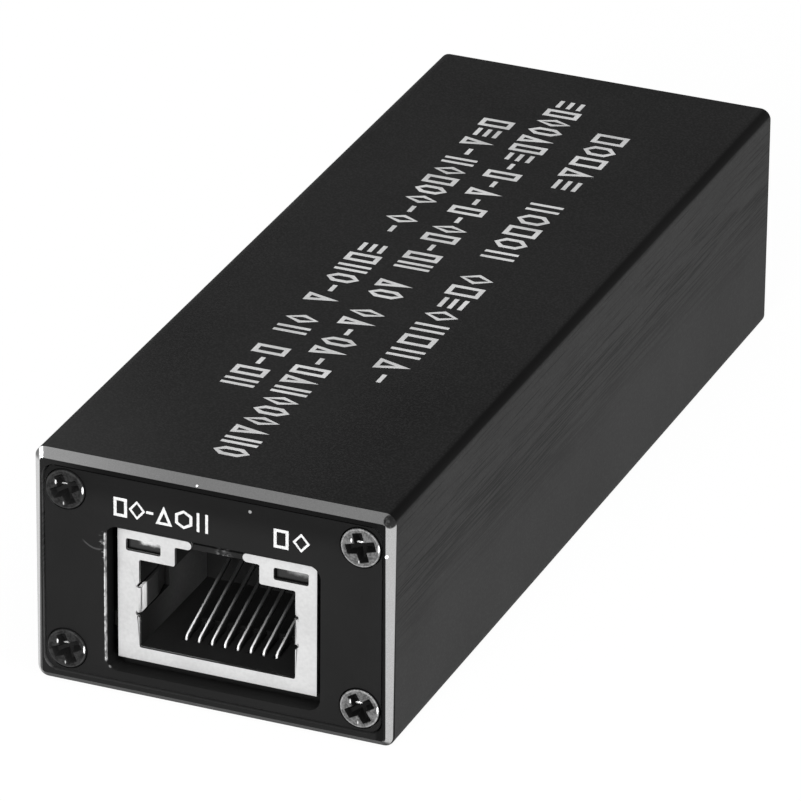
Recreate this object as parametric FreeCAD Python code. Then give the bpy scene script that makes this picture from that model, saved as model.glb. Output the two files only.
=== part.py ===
import FreeCAD, Part
import math
import os

# Pocket-size fibre media converter: a rectangular extruded tube closed by two
# screwed plates. The front plate (-Y) shows a network jack, the rear plate (+Y)
# a slot for an optical module and a power socket.
# Millimetres. X is the width, Y the length from front to rear, Z is up.
# The origin is the centre of the footprint, on the surface the tube rests on.

# Housing tube
housing_width = 28.0
housing_height = 18.6
housing_length = 77.5
housing_edge_radius = 0.85
housing_wall = 1.5
end_chamfer = 0.62
side_rim = 0.74
top_rim = 0.98
plate_corner_radius = 0.95
plate_gap = 0.15

# End plates and their screws
plate_thickness = 1.5
plate_recess = 0.15
screw_inset_x = 2.525
screw_inset_z = 2.865
head_radius = 1.56
head_height = 0.8
head_rise = 0.14
head_gap = 0.07
shank_radius = 0.8
thread_flats = 12
screw_length = 6.0
screw_fit = 0.05
bore_fit = 0.1
cross_arm = 0.8
cross_span = 2.35
cross_floor_span = 1.0
cross_depth = 0.8
port_wall = 0.75
port_slit = 1.0
front_drive_angles = {"top_left": 63.0, "top_right": 75.0, "bottom_left": 66.0, "bottom_right": 58.0}
rear_drive_angles = {"top_left": 12.0, "top_right": 51.0, "bottom_left": 70.0, "bottom_right": 33.0}

# Circuit board, carried on the lower corner ports and held down by two ribs
board_thickness = 1.2
board_fit = 0.05
board_side_gap = 0.2
board_end_gap = 0.3
rib_reach = 1.0
rib_thickness = 0.8

# Network jack
jack_side_room = 6.225
jack_height = 10.37
jack_length = 18.0
jack_recess = 1.0
jack_bottom = 2.6
jack_step = 13.4
shield_thickness = 0.25
jack_opening_gap_beside = 0.625
jack_opening_gap_below = 0.76
jack_opening_gap_above = 0.52
jack_opening_radius = 1.0
socket_wall = 1.675
socket_height = 7.1
socket_floor = 1.05
socket_depth = 12.0
latch_width = 6.6
latch_height = 8.65
key_width = 4.0
key_depth = 6.0
arm_height = 0.67
led_web = 1.105
led_height = 0.97
led_inset = 0.65
led_length = 5.0
led_fit = 0.05
led_bevel = 0.1
spring_low = 2.8
spring_high = 4.8
spring_reach = 5.0
spring_lip = 0.11
spring_lean = 0.25
spring_knee = 3.0
spring_pocket = 0.6
spring_notch = 0.28
spring_notch_depth = 0.25
leg_width = 1.6
leg_offset = 1.1
leg_place = 8.0
leg_below_board = 0.7
leg_root = 1.0
contact_count = 8
contact_pitch = 1.016
contact_thickness = 0.32
contact_width = 0.27
contact_nose = 2.6
contact_sink = 0.45
contact_slope = 20.0
contact_end = 12.3
contact_bend = 0.3
contact_bend_steps = 4
tail_row = 14.6
tail_below_board = 0.8
insert_front = 6.0
insert_rear = 15.6
insert_rise = 4.2
comb_depth = 1.0
comb_height = 2.4
lead_thickness = 0.3
lead_row = 16.6

# Slot for the optical module
cage_room_left = 5.0
cage_room_right = 8.5
cage_room_above = 3.185
cage_room_front = 28.75
cage_thickness = 0.25
cage_recess = 0.05
cage_opening_gap = 0.35
cage_leg_count = 5
cage_leg_length = 1.6
cage_leg_width = 0.7
tongue_width = 5.0
tongue_length = 9.0
tongue_slit = 0.5
tongue_hole = 2.4
rear_door_height = 1.6
finger_width = 1.7
finger_band = 1.2
finger_thickness = 0.1
finger_bulge = 0.2
connector_side_gap = 1.6
connector_depth = 9.0
connector_height = 5.4
connector_gap = 0.2
connector_bevel = 0.5
card_slot_wall = 0.95
card_slot_height = 1.3
card_slot_depth = 6.2
card_slot_height_above_board = 2.5
blade_row_margin = 2.2
blades_per_row = 10
blade_width = 0.32
blade_thickness = 0.15
blade_fit = 0.06
blade_groove = 0.75
blade_room = 1.1
blade_inset = 0.05
blade_riser = 0.9
blade_step = 0.6
blade_straight = 1.0
blade_touch = 1.6
slot_web = 0.15

# Upright power socket
usb_thickness = 3.16
usb_wall = 0.3
usb_length = 7.35
usb_room_right = 5.8
usb_room_above = 3.745
usb_lift = 0.2
usb_opening_gap = 0.15
usb_recess = 0.1
usb_tongue_gap = 1.125
usb_tongue_thickness = 0.7
usb_tongue_length = 4.6
usb_tongue_recess = 0.6
usb_tongue_bevel = 0.17
usb_leg_width = 1.0
usb_pad_pitch = 1.6
usb_pads_per_side = 3
usb_pad_thickness = 0.06
usb_pad_width = 0.5
usb_pad_length = 3.4
round_margin = 0.01

# Parts soldered on the board
hole_fit = 0.12
magnetics_size = (12.7, 6.6, 3.2)
magnetics_x = -2.0
magnetics_bevel = 0.38
pins_per_side = 8
pin_thickness = 0.12
pin_width = 0.5
pin_root = 0.3
pin_knee = 0.35
pin_toe = 1.0
pin_shoulder = 1.45
chip_size = (7.0, 7.0, 0.85)
chip_place = (0.0, 2.0)
memory_size = (5.0, 6.0, 0.8)
memory_y = 14.0
crystal_size = (3.2, 2.5, 0.8)
crystal_y = 2.0
leg_clearance = 0.5
flat_package_bevel = 0.1
regulator_size = (3.0, 3.0, 1.0)
regulator_from_socket = 13.0
inductor_size = (4.0, 4.0, 2.1)
inductor_bevel = 0.4
inductor_from_socket = 18.0
diode_size = (2.6, 4.3, 2.2)
diode_bevel = 0.25
diode_from_socket = 8.5
fuse_size = (3.2, 4.5, 0.9)
fuse_from_socket = 3.2
capacitor_size = (1.6, 3.2, 1.4)
capacitor_spacing = 2.6
capacitor_rows_from_socket = (22.6, 27.0)
resistor_size = (0.8, 1.6, 0.45)
resistor_rows = (8.6, -4.0)
resistors_per_row = 6
resistor_pitch = 1.4

# Levels and planes that follow from the sizes above
front = -housing_length / 2
rear = housing_length / 2
middle_height = housing_height / 2
screw_x = housing_width / 2 - screw_inset_x
screw_z = middle_height - screw_inset_z
port_low = screw_inset_z
pilot_radius = shank_radius + screw_fit
port_reach = pilot_radius + port_wall
cavity_half_width = housing_width / 2 - housing_wall
board_bottom = port_low + port_reach + board_fit
board_top = board_bottom + board_thickness
plate_face = plate_recess
plate_back = plate_recess + plate_thickness
board_front = front + plate_back + board_end_gap
board_rear = rear - plate_back - board_end_gap
jack_face = front + jack_recess
jack_top = jack_bottom + jack_height
jack_width = housing_width - 2 * jack_side_room
socket_width = jack_width - 2 * socket_wall
led_width = jack_width / 2 - led_inset - led_web - latch_width / 2
lead_spread = led_width / 2
socket_bottom = jack_bottom + socket_floor
cage_mouth = rear - cage_recess
cage_end = front + cage_room_front
cage_length = cage_mouth - cage_end
cage_top = housing_height - cage_room_above
cage_height = cage_top - board_top
cage_left = cage_room_left - housing_width / 2
cage_right = housing_width / 2 - cage_room_right
cage_width = cage_right - cage_left
cage_centre_x = (cage_left + cage_right) / 2
connector_width = cage_width - 2 * connector_side_gap
card_slot_width = connector_width - 2 * card_slot_wall
blade_pitch = (card_slot_width - blade_row_margin) / (blades_per_row - 1)
usb_mouth = rear - usb_recess
usb_back = usb_mouth - usb_length
usb_bottom = board_top + usb_lift
usb_span = housing_height - usb_room_above - usb_bottom
usb_middle_z = usb_bottom + usb_span / 2
usb_centre_x = housing_width / 2 - usb_room_right
usb_tongue_span = usb_span - 2 * usb_tongue_gap
corners = {
    "top_left": (-1, 1),
    "top_right": (1, 1),
    "bottom_left": (-1, -1),
    "bottom_right": (1, -1),
}


def vector(x, y, z=0.0):
    return FreeCAD.Vector(x, y, z)


def block(x_low, x_high, y_low, y_high, z_low, z_high):
    return Part.makeBox(x_high - x_low, y_high - y_low, z_high - z_low, vector(x_low, y_low, z_low))


# A prism that runs along Y, with a rounded rectangle for its section.
def rounded_prism(width, height, radius, x_middle, z_middle, y_low, y_high):
    prism = block(-width / 2, width / 2, y_low, y_high, -height / 2, height / 2)
    long_edges = [edge for edge in prism.Edges if abs(edge.tangentAt(0).y) > 0.5]
    prism = prism.makeFillet(radius, long_edges)
    prism.translate(vector(x_middle, 0, z_middle))
    return prism


def left_of(way):
    return vector(-way.y, way.x)


# The side of a folded strip: its chain of points moved a shift to the left, with
# mitred folds.
def parallel_points(points, shift):
    chain = [vector(u, v) for u, v in points]
    ways = [(after - before).normalize() for before, after in zip(chain, chain[1:])]
    moved = [chain[0] + left_of(ways[0]) * shift]
    for point, way_in, way_out in zip(chain[1:], ways, ways[1:]):
        across = (left_of(way_in) + left_of(way_out)).normalize()
        moved.append(point + across * (shift / math.cos(way_in.getAngle(way_out) / 2)))
    moved.append(chain[-1] + left_of(ways[-1]) * shift)
    return moved


# A strip of even thickness that follows a chain of points.
def strip(points, thickness, width):
    left = parallel_points(points, thickness / 2)
    right = parallel_points(points, -thickness / 2)
    outline = Part.makePolygon(left + right[::-1] + left[:1])
    return Part.Face(outline).extrude(vector(0, 0, width))


# A strip whose points are (y, z), centred on x and as wide as width.
def side_strip(points, thickness, x, width):
    shape = strip(points, thickness, width)
    shape.rotate(vector(0, 0), vector(1, 1, 1), 120)
    shape.translate(vector(x - width / 2, 0))
    return shape


# A strip whose points are (x, z), centred on y.
def end_strip(points, thickness, y, width):
    shape = strip(points, thickness, width)
    shape.rotate(vector(0, 0), vector(1, 0), 90)
    shape.translate(vector(0, y + width / 2))
    return shape


# A strip whose points are (x, y), starting at the height z.
def flat_strip(points, thickness, z, width):
    shape = strip(points, thickness, width)
    shape.translate(vector(0, 0, z))
    return shape


def side_profile(points, x_low, x_high):
    outline = Part.makePolygon([vector(x_low, y, z) for y, z in points + points[:1]])
    return Part.Face(outline).extrude(vector(x_high - x_low, 0))


def save(name, shape):
    shape.exportStep("parts/" + name + ".step")
    print(name, len(shape.Solids), "solids", round(shape.Volume, 2), "mm3", shape.isValid())


def screw_places():
    return {
        name: (side * screw_x, middle_height + level * screw_z)
        for name, (side, level) in corners.items()
    }


# One corner of the tube's section: the solid corner in which a screw bore runs.
def screw_port(side, level):
    x = side * (screw_x - port_reach)
    z = middle_height + level * (screw_z - port_reach)
    x_outer = side * (cavity_half_width + housing_wall / 2)
    z_outer = middle_height + level * (middle_height - housing_wall / 2)
    return block(min(x, x_outer), max(x, x_outer), front, rear, min(z, z_outer), max(z, z_outer))


def along_y(radius, y_low, y_high):
    return Part.makeCylinder(radius, y_high - y_low, vector(0, y_low), vector(0, 1))


# Threads are not cut: a shank and the bores it runs in are plain prisms with a few flats.
def thread_prism(radius, y_low, y_high):
    step = 2 * math.pi / thread_flats
    ring = [
        vector(radius * math.cos(index * step), y_low, radius * math.sin(index * step))
        for index in range(thread_flats)
    ]
    return Part.Face(Part.makePolygon(ring + ring[:1])).extrude(vector(0, y_high - y_low))


# The bore of a screw port with the slit through which it opens into the cavity.
def port_opening(side, level):
    x = side * screw_x
    z = middle_height + level * screw_z
    slit_length = port_reach * math.sqrt(2) + port_slit / 2
    slit = block(0, slit_length, front, rear, -port_slit / 2, port_slit / 2)
    angle = math.degrees(math.atan2(-level, -side))
    slit.rotate(vector(0, 0), vector(0, -1), angle)
    slit.translate(vector(x, 0, z))
    bore = thread_prism(pilot_radius, front, rear)
    bore.translate(vector(x, 0, z))
    return bore.fuse(slit)


def board_rib(side):
    wall = side * (cavity_half_width + housing_wall / 2)
    tip = side * (cavity_half_width - rib_reach)
    low = board_top + board_fit
    return block(min(wall, tip), max(wall, tip), front, rear, low, low + rib_thickness)


def plate_pocket(y_low, y_high):
    width = housing_width - 2 * side_rim
    height = housing_height - 2 * top_rim
    return rounded_prism(width, height, plate_corner_radius + plate_gap, 0, middle_height, y_low, y_high)


def make_housing():
    tube = rounded_prism(
        housing_width, housing_height, housing_edge_radius, 0, middle_height, front, rear
    )
    end_edges = [edge for edge in tube.Edges if abs(abs(edge.CenterOfMass.y) - rear) < 0.001]
    tube = tube.makeChamfer(end_chamfer, end_edges)
    cavity = block(
        -cavity_half_width, cavity_half_width, front, rear, housing_wall, housing_height - housing_wall
    )
    keep = [screw_port(side, level) for side, level in corners.values()]
    keep += [board_rib(side) for side in (-1, 1)]
    tube = tube.cut(cavity.cut(keep))
    tube = tube.cut([port_opening(side, level) for side, level in corners.values()])
    pockets = [plate_pocket(front, front + plate_back), plate_pocket(rear - plate_back, rear)]
    return tube.cut(pockets).removeSplitter()


# A cheese-head screw with the flat of its head at y = 0.
def screw_blank():
    return along_y(head_radius, 0, head_height).fuse(thread_prism(shank_radius, head_height, screw_length))


# The counterbored hole for it in a plate.
def screw_hole():
    mouth = along_y(head_radius + head_gap, 0, head_height)
    return mouth.fuse(thread_prism(shank_radius + bore_fit, head_height, plate_thickness + head_rise))


# A cross recess whose arms taper towards its floor.
def cross_recess():
    half_top = cross_span / 2
    half_floor = cross_floor_span / 2
    points = [(-half_top, 0), (half_top, 0), (half_floor, cross_depth), (-half_floor, cross_depth)]
    outline = Part.makePolygon([vector(x, y, -cross_arm / 2) for x, y in points + points[:1]])
    arm = Part.Face(outline).extrude(vector(0, 0, cross_arm))
    other_arm = arm.copy()
    other_arm.rotate(vector(0, 0), vector(0, 1), 90)
    return arm.fuse(other_arm)


def make_screw(x, z, drive_angle, at_front):
    screw = screw_blank().cut(cross_recess())
    screw.rotate(vector(0, 0), vector(0, 1), drive_angle)
    if at_front:
        screw.translate(vector(x, front + plate_face - head_rise, z))
    else:
        screw.rotate(vector(0, 0), vector(0, 0, 1), 180)
        screw.translate(vector(x, rear - plate_face + head_rise, z))
    return screw


# A blank end plate with its four counterbored holes, face towards -Y at the front.
def plate_blank(at_front):
    width = housing_width - 2 * (side_rim + plate_gap)
    height = housing_height - 2 * (top_rim + plate_gap)
    plate = rounded_prism(
        width, height, plate_corner_radius, 0, middle_height, front + plate_face, front + plate_back
    )
    sinks = []
    for x, z in screw_places().values():
        sink = screw_hole()
        sink.translate(vector(x, front + plate_face - head_rise, z))
        sinks.append(sink)
    plate = plate.cut(sinks)
    if not at_front:
        plate.rotate(vector(0, 0), vector(0, 0, 1), 180)
    return plate


def make_front_plate():
    low = jack_bottom - jack_opening_gap_below
    high = jack_top + jack_opening_gap_above
    opening = rounded_prism(
        jack_width + 2 * jack_opening_gap_beside, high - low, jack_opening_radius,
        0, (low + high) / 2, front, front + plate_back,
    )
    return plate_blank(True).cut(opening)


def make_rear_plate():
    cage_hole = block(
        cage_left - cage_opening_gap, cage_right + cage_opening_gap, rear - plate_back, rear,
        board_top - cage_opening_gap, cage_top + cage_opening_gap,
    )
    power_hole = rounded_prism(
        usb_thickness + 2 * usb_opening_gap, usb_span + 2 * usb_opening_gap,
        usb_thickness / 2 + usb_opening_gap - round_margin,
        usb_centre_x, usb_middle_z, rear - plate_back, rear,
    )
    return plate_blank(False).cut([cage_hole, power_hole])


def contact_x():
    first = -contact_pitch * (contact_count - 1) / 2
    return [first + index * contact_pitch for index in range(contact_count)]


# The four leads of the two indicator lamps, as (x, y) on the board.
def lamp_lead_x():
    middle = jack_width / 2 - led_inset - led_width / 2
    return [side * (middle + step * lead_spread / 2) for side in (-1, 1) for step in (-1, 1)]


def cage_leg_places():
    spacing = (cage_length - 2 * cage_leg_length - plate_back) / cage_leg_count
    first = cage_end + cage_leg_length
    return [
        (x, first + index * spacing)
        for x in (cage_left + cage_thickness / 2, cage_right - cage_thickness / 2)
        for index in range(cage_leg_count)
    ]


def usb_leg_places():
    y_places = (usb_back + usb_leg_width, usb_mouth - plate_back - usb_leg_width)
    offset = usb_thickness / 2 - usb_wall / 2
    return [(usb_centre_x + side * offset, y) for side in (-1, 1) for y in y_places]


# A plated slot through the board for a leg or a lead of the given section.
def board_slot(x, y, width, length):
    half_width = width / 2 + hole_fit
    half_length = length / 2 + hole_fit
    return block(
        x - half_width, x + half_width, y - half_length, y + half_length, board_bottom, board_top
    )


def make_board():
    half_width = cavity_half_width - board_side_gap
    board = block(-half_width, half_width, board_front, board_rear, board_bottom, board_top)
    notch_half = jack_width / 2 + board_side_gap
    notch = block(
        -notch_half, notch_half, board_front, jack_face + jack_step + board_side_gap,
        board_bottom, board_top,
    )
    cuts = [notch]
    cuts += [board_slot(x, jack_face + tail_row, contact_width, contact_thickness) for x in contact_x()]
    cuts += [board_slot(x, jack_face + lead_row, lead_thickness, lead_thickness) for x in lamp_lead_x()]
    leg_x = jack_width / 2 + leg_offset
    cuts += [board_slot(x, jack_face + leg_place, shield_thickness, leg_width) for x in (-leg_x, leg_x)]
    cuts += [board_slot(x, y, cage_thickness, cage_leg_width) for x, y in cage_leg_places()]
    cuts += [board_slot(x, y, usb_wall, usb_leg_width) for x, y in usb_leg_places()]
    return board.cut(cuts)


# The jack's side outline: deep in front of the board, shallow above it.
def jack_solid(inset):
    low = jack_bottom + inset
    high = jack_top - inset
    step = board_top + board_fit + inset
    near = jack_face + inset
    far = jack_face + jack_length - inset
    drop = jack_face + jack_step - inset
    points = [(near, low), (drop, low), (drop, step), (far, step), (far, high), (near, high)]
    half_width = jack_width / 2 - inset
    return side_profile(points, -half_width, half_width)


# The way in for a plug: the wide socket, the latch channel and the key gap above it.
def plug_way(y_low, y_high, key_open):
    wide = block(
        -socket_width / 2, socket_width / 2, y_low, y_high, socket_bottom, socket_bottom + socket_height
    )
    latch_top = socket_bottom + latch_height
    latch = block(-latch_width / 2, latch_width / 2, y_low, y_high, socket_bottom, latch_top)
    way = wide.fuse(latch)
    if key_open:
        key = block(-key_width / 2, key_width / 2, y_low, y_high, socket_bottom, jack_top)
        way = way.fuse(key)
        for side in (-1, 1):
            x = side * key_width / 2
            z = (latch_top + jack_top) / 2
            round_end = Part.makeCylinder(arm_height / 2, y_high - y_low, vector(x, y_low, z), vector(0, 1))
            arm_gap = block(
                min(x, x + side * arm_height / 2), max(x, x + side * arm_height / 2),
                y_low, y_high, latch_top, jack_top,
            )
            way = way.fuse(arm_gap.cut(round_end.translated(vector(side * arm_height / 2, 0))))
    return way


def lamp_window(side, y_low, y_high):
    outer = side * (jack_width / 2 - led_inset)
    inner = outer - side * led_width
    high = jack_top - arm_height
    return block(min(outer, inner), max(outer, inner), y_low, y_high, high - led_height, high)


# A grounding spring: a lip that stands into the socket's edge, folded back to the side wall.
def ground_spring(side):
    edge = socket_width / 2 + shield_thickness / 2
    points = [
        (side * (edge + spring_notch), jack_face + shield_thickness / 2),
        (side * (edge - spring_lip), jack_face + shield_thickness / 2),
        (side * (edge - spring_lip), jack_face + spring_knee),
        (side * (edge + spring_lean), jack_face + spring_reach),
    ]
    height = spring_high - spring_low
    return flat_strip(points, shield_thickness, socket_bottom + spring_low, height)


def shield_leg(side):
    wall = side * (jack_width / 2 - shield_thickness / 2)
    out = side * (jack_width / 2 + leg_offset)
    shoulder = board_top + board_fit + shield_thickness
    points = [
        (wall, shoulder + leg_root),
        (wall, shoulder),
        (out, shoulder),
        (out, board_bottom - leg_below_board),
    ]
    return end_strip(points, shield_thickness, jack_face + leg_place, leg_width)


def make_jack_shield():
    shell = jack_solid(0).cut(jack_solid(shield_thickness))
    front_wall_end = jack_face + shield_thickness
    shell = shell.cut(plug_way(jack_face, front_wall_end, True))
    shell = shell.cut([lamp_window(side, jack_face, front_wall_end) for side in (-1, 1)])
    key_mouth = block(
        -key_width / 2, key_width / 2, jack_face, jack_face + key_depth,
        jack_top - shield_thickness, jack_top,
    )
    shell = shell.cut(key_mouth)
    inner_half = jack_width / 2 - shield_thickness
    board_side = block(
        -inner_half, inner_half, jack_face + jack_step - shield_thickness,
        jack_face + jack_length - shield_thickness, jack_bottom + shield_thickness,
        board_top + board_fit + shield_thickness,
    )
    shell = shell.cut(board_side)
    for side in (-1, 1):
        edge = side * socket_width / 2
        deep = edge + side * spring_notch_depth
        for level in (socket_bottom + spring_low - spring_notch, socket_bottom + spring_high):
            notch = block(
                min(edge, deep), max(edge, deep), jack_face, front_wall_end, level, level + spring_notch
            )
            shell = shell.cut(notch)
        leg_y = jack_face + leg_place
        gap_half = leg_width / 2 + shield_thickness
        wall = side * jack_width / 2
        inner = wall - side * shield_thickness
        shoulder = board_top + board_fit + shield_thickness
        relief = block(
            min(wall, inner), max(wall, inner), leg_y - gap_half, leg_y + gap_half,
            jack_bottom + shield_thickness, shoulder + leg_root - shield_thickness,
        )
        shell = shell.cut(relief).fuse([ground_spring(side), shield_leg(side)])
    return shell.removeSplitter()


# The insert that carries the contacts: a floor under the socket and a block on the board.
def insert_solid():
    low = jack_bottom + shield_thickness
    floor = socket_bottom
    step = board_top + board_fit + shield_thickness
    near = jack_face + insert_front
    wall = jack_face + socket_depth
    drop = jack_face + jack_step - shield_thickness
    far = jack_face + insert_rear
    high = board_top + insert_rise
    points = [
        (near, low), (drop, low), (drop, step), (far, step),
        (far, high), (wall, high), (wall, floor), (near, floor),
    ]
    return side_profile(points, -socket_width / 2, socket_width / 2)


def comb_slots():
    wall = jack_face + socket_depth
    height = contact_height(contact_end)
    half_width = contact_width / 2 + hole_fit
    return [
        block(
            x - half_width, x + half_width, wall, wall + comb_depth,
            height - comb_height / 2, height + comb_height / 2,
        )
        for x in contact_x()
    ]


# How high a contact's sloping arm stands at a distance behind the jack's face. The
# arm starts where its bend, a part of a circle round the nose, leaves it.
def contact_height(distance):
    slope = math.radians(contact_slope)
    bend_middle = contact_nose + contact_thickness / 2 + contact_bend
    arm_start = bend_middle - contact_bend * math.sin(slope)
    arm_foot = socket_bottom - contact_sink + contact_bend * (1 + math.cos(slope))
    return arm_foot + (distance - arm_start) * math.tan(slope)


# One spring contact, from its tail in the board to its free end in the comb.
def contact(x):
    lane = socket_bottom - contact_sink
    over_board = board_top + board_fit + shield_thickness + contact_thickness
    drop = jack_face + jack_step - shield_thickness - contact_thickness
    tail = jack_face + tail_row
    points = [
        (tail, board_bottom - tail_below_board),
        (tail, over_board),
        (drop, over_board),
        (drop, lane),
    ]
    bend_middle = jack_face + contact_nose + contact_thickness / 2 + contact_bend
    turn = math.radians(180 - contact_slope)
    for index in range(contact_bend_steps + 1):
        angle = turn * index / contact_bend_steps
        y = bend_middle - contact_bend * math.sin(angle)
        z = lane + contact_bend * (1 - math.cos(angle))
        points.append((y, z))
    points.append((jack_face + contact_end, contact_height(contact_end)))
    return side_strip(points, contact_thickness, x, contact_width)


def make_jack_insulator():
    body = jack_solid(shield_thickness)
    behind = block(
        -jack_width, jack_width, jack_face + insert_rear, jack_face + jack_length, 0, housing_height
    )
    body = body.cut(behind)
    body = body.cut(plug_way(jack_face, jack_face + socket_depth, False))
    body = body.cut(insert_solid())
    lane_low = socket_bottom - contact_sink - contact_thickness
    half_width = contact_width / 2 + hole_fit
    lanes = [
        block(
            x - half_width, x + half_width, jack_face + contact_nose - contact_bend,
            jack_face + insert_front, lane_low, socket_bottom,
        )
        for x in contact_x()
    ]
    body = body.cut(lanes)
    for side in (-1, 1):
        body = body.cut(lamp_window(side, jack_face, jack_face + insert_rear))
        edge = side * socket_width / 2
        deep = edge + side * spring_pocket
        pocket = block(
            min(edge, deep), max(edge, deep), jack_face, jack_face + spring_reach + spring_notch,
            socket_bottom + spring_low - spring_notch, socket_bottom + spring_high + spring_notch,
        )
        body = body.cut(pocket)
    return body.removeSplitter()


def make_lamp(side):
    start = jack_face + shield_thickness
    slot = lamp_window(side, start + led_fit, start + led_length)
    middle = slot.BoundBox.Center
    half_width = led_width / 2 - led_fit
    half_height = led_height / 2 - led_fit
    lamp = block(
        middle.x - half_width, middle.x + half_width, start + led_fit, start + led_length,
        middle.z - half_height, middle.z + half_height,
    )
    front_edges = [edge for edge in lamp.Edges if edge.BoundBox.YMax < start + 2 * led_fit]
    return lamp.makeChamfer(led_bevel, front_edges)


def make_lamp_leads():
    height = jack_top - arm_height - led_height / 2
    points = [
        (jack_face + shield_thickness + led_length, height),
        (jack_face + lead_row, height),
        (jack_face + lead_row, board_bottom - tail_below_board),
    ]
    leads = [side_strip(points, lead_thickness, x, lead_thickness) for x in lamp_lead_x()]
    return Part.makeCompound(leads)


def make_contact_insert(contacts):
    return insert_solid().cut(comb_slots()).cut(contacts)


# The thin box of the cage, its mouth at the rear and its floor cut away at the connector.
def make_sfp_cage():
    floor = board_top
    outer = block(cage_left, cage_right, cage_end, cage_mouth, floor, cage_top)
    inner = block(
        cage_left + cage_thickness, cage_right - cage_thickness, cage_end + cage_thickness, cage_mouth,
        floor + cage_thickness, cage_top - cage_thickness,
    )
    connector_room = block(
        cage_left + cage_thickness, cage_right - cage_thickness, cage_end,
        cage_end + connector_depth + 2 * connector_gap + 2 * cage_thickness,
        floor, floor + cage_thickness,
    )
    rear_door = block(
        cage_left + 2 * cage_thickness, cage_right - 2 * cage_thickness, cage_end,
        cage_end + cage_thickness, floor, floor + rear_door_height,
    )
    tongue_y = cage_mouth - tongue_length
    slits = [
        block(x - tongue_slit / 2, x + tongue_slit / 2, tongue_y, cage_mouth, floor, floor + cage_thickness)
        for x in (cage_centre_x - tongue_width / 2, cage_centre_x + tongue_width / 2)
    ]
    catch = Part.makePolygon([
        vector(cage_centre_x - tongue_hole / 2, cage_mouth - tongue_hole, floor),
        vector(cage_centre_x + tongue_hole / 2, cage_mouth - tongue_hole, floor),
        vector(cage_centre_x, cage_mouth - 2 * tongue_hole, floor),
        vector(cage_centre_x - tongue_hole / 2, cage_mouth - tongue_hole, floor),
    ])
    catch = Part.Face(catch).extrude(vector(0, 0, cage_thickness))
    cage = outer.cut(inner).cut([connector_room, rear_door, catch] + slits)
    leg_bottom = board_bottom - (cage_leg_length - board_thickness)
    legs = [
        block(
            x - cage_thickness / 2, x + cage_thickness / 2, y - cage_leg_width / 2, y + cage_leg_width / 2,
            leg_bottom, floor + cage_thickness,
        )
        for x, y in cage_leg_places()
    ]
    return cage.fuse(legs).removeSplitter()


# A thin collar round the cage's mouth with bowed fingers that press on the rear plate.
def make_ground_fingers():
    collar_start = cage_mouth - plate_back - finger_band
    collar_end = cage_mouth - plate_back
    grow = finger_thickness
    outer = block(
        cage_left - grow, cage_right + grow, collar_start, collar_end, board_top, cage_top + grow
    )
    hole = block(cage_left, cage_right, collar_start, collar_end, board_top, cage_top)
    collar = outer.cut(hole)
    tip = cage_mouth - plate_recess
    bow = [
        (collar_end - finger_band / 2, 0),
        (collar_end, 0),
        (collar_end + plate_thickness / 2, finger_bulge),
        (tip, 0),
    ]
    fingers = []
    for step in (-1, 0, 1):
        points = [(y, cage_top + grow / 2 + lift) for y, lift in bow]
        x = cage_centre_x + step * cage_width / 3
        fingers.append(side_strip(points, grow, x, finger_width))
    for side in (-1, 1):
        for level in (1, 2):
            wall = cage_centre_x + side * (cage_width / 2 + grow / 2)
            points = [(wall + side * lift, y) for y, lift in bow]
            z = board_top + level * cage_height / 3 - finger_width / 2
            fingers.append(flat_strip(points, grow, z, finger_width))
    return collar.fuse(fingers).removeSplitter()


def blade_x():
    first = cage_centre_x - blade_pitch * (blades_per_row - 1) / 2
    return [first + index * blade_pitch for index in range(blades_per_row)]


# Contacts of the module connector: the upper row is soldered behind it, the lower in front.
def make_sfp_contacts():
    back = cage_end + connector_gap + cage_thickness
    mouth = back + connector_depth
    slot_end = mouth - card_slot_depth
    middle = board_top + card_slot_height_above_board
    touch = card_slot_height / 2 - blade_thickness
    foot = board_top + blade_thickness / 2
    upper = [
        (back + blade_inset, foot),
        (back + blade_riser, foot),
        (back + blade_riser, middle + touch + blade_step),
        (slot_end + blade_straight, middle + touch + blade_step),
        (mouth - blade_touch, middle + touch),
    ]
    lower = [
        (mouth - blade_inset, foot),
        (slot_end - blade_step, foot),
        (slot_end - blade_step, middle - touch - blade_step),
        (slot_end + blade_straight, middle - touch - blade_step),
        (mouth - blade_touch, middle - touch),
    ]
    blades = []
    for x in blade_x():
        blades.append(side_strip(upper, blade_thickness, x, blade_width))
        blades.append(side_strip(lower, blade_thickness, x, blade_width))
    return Part.makeCompound(blades)


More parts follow.
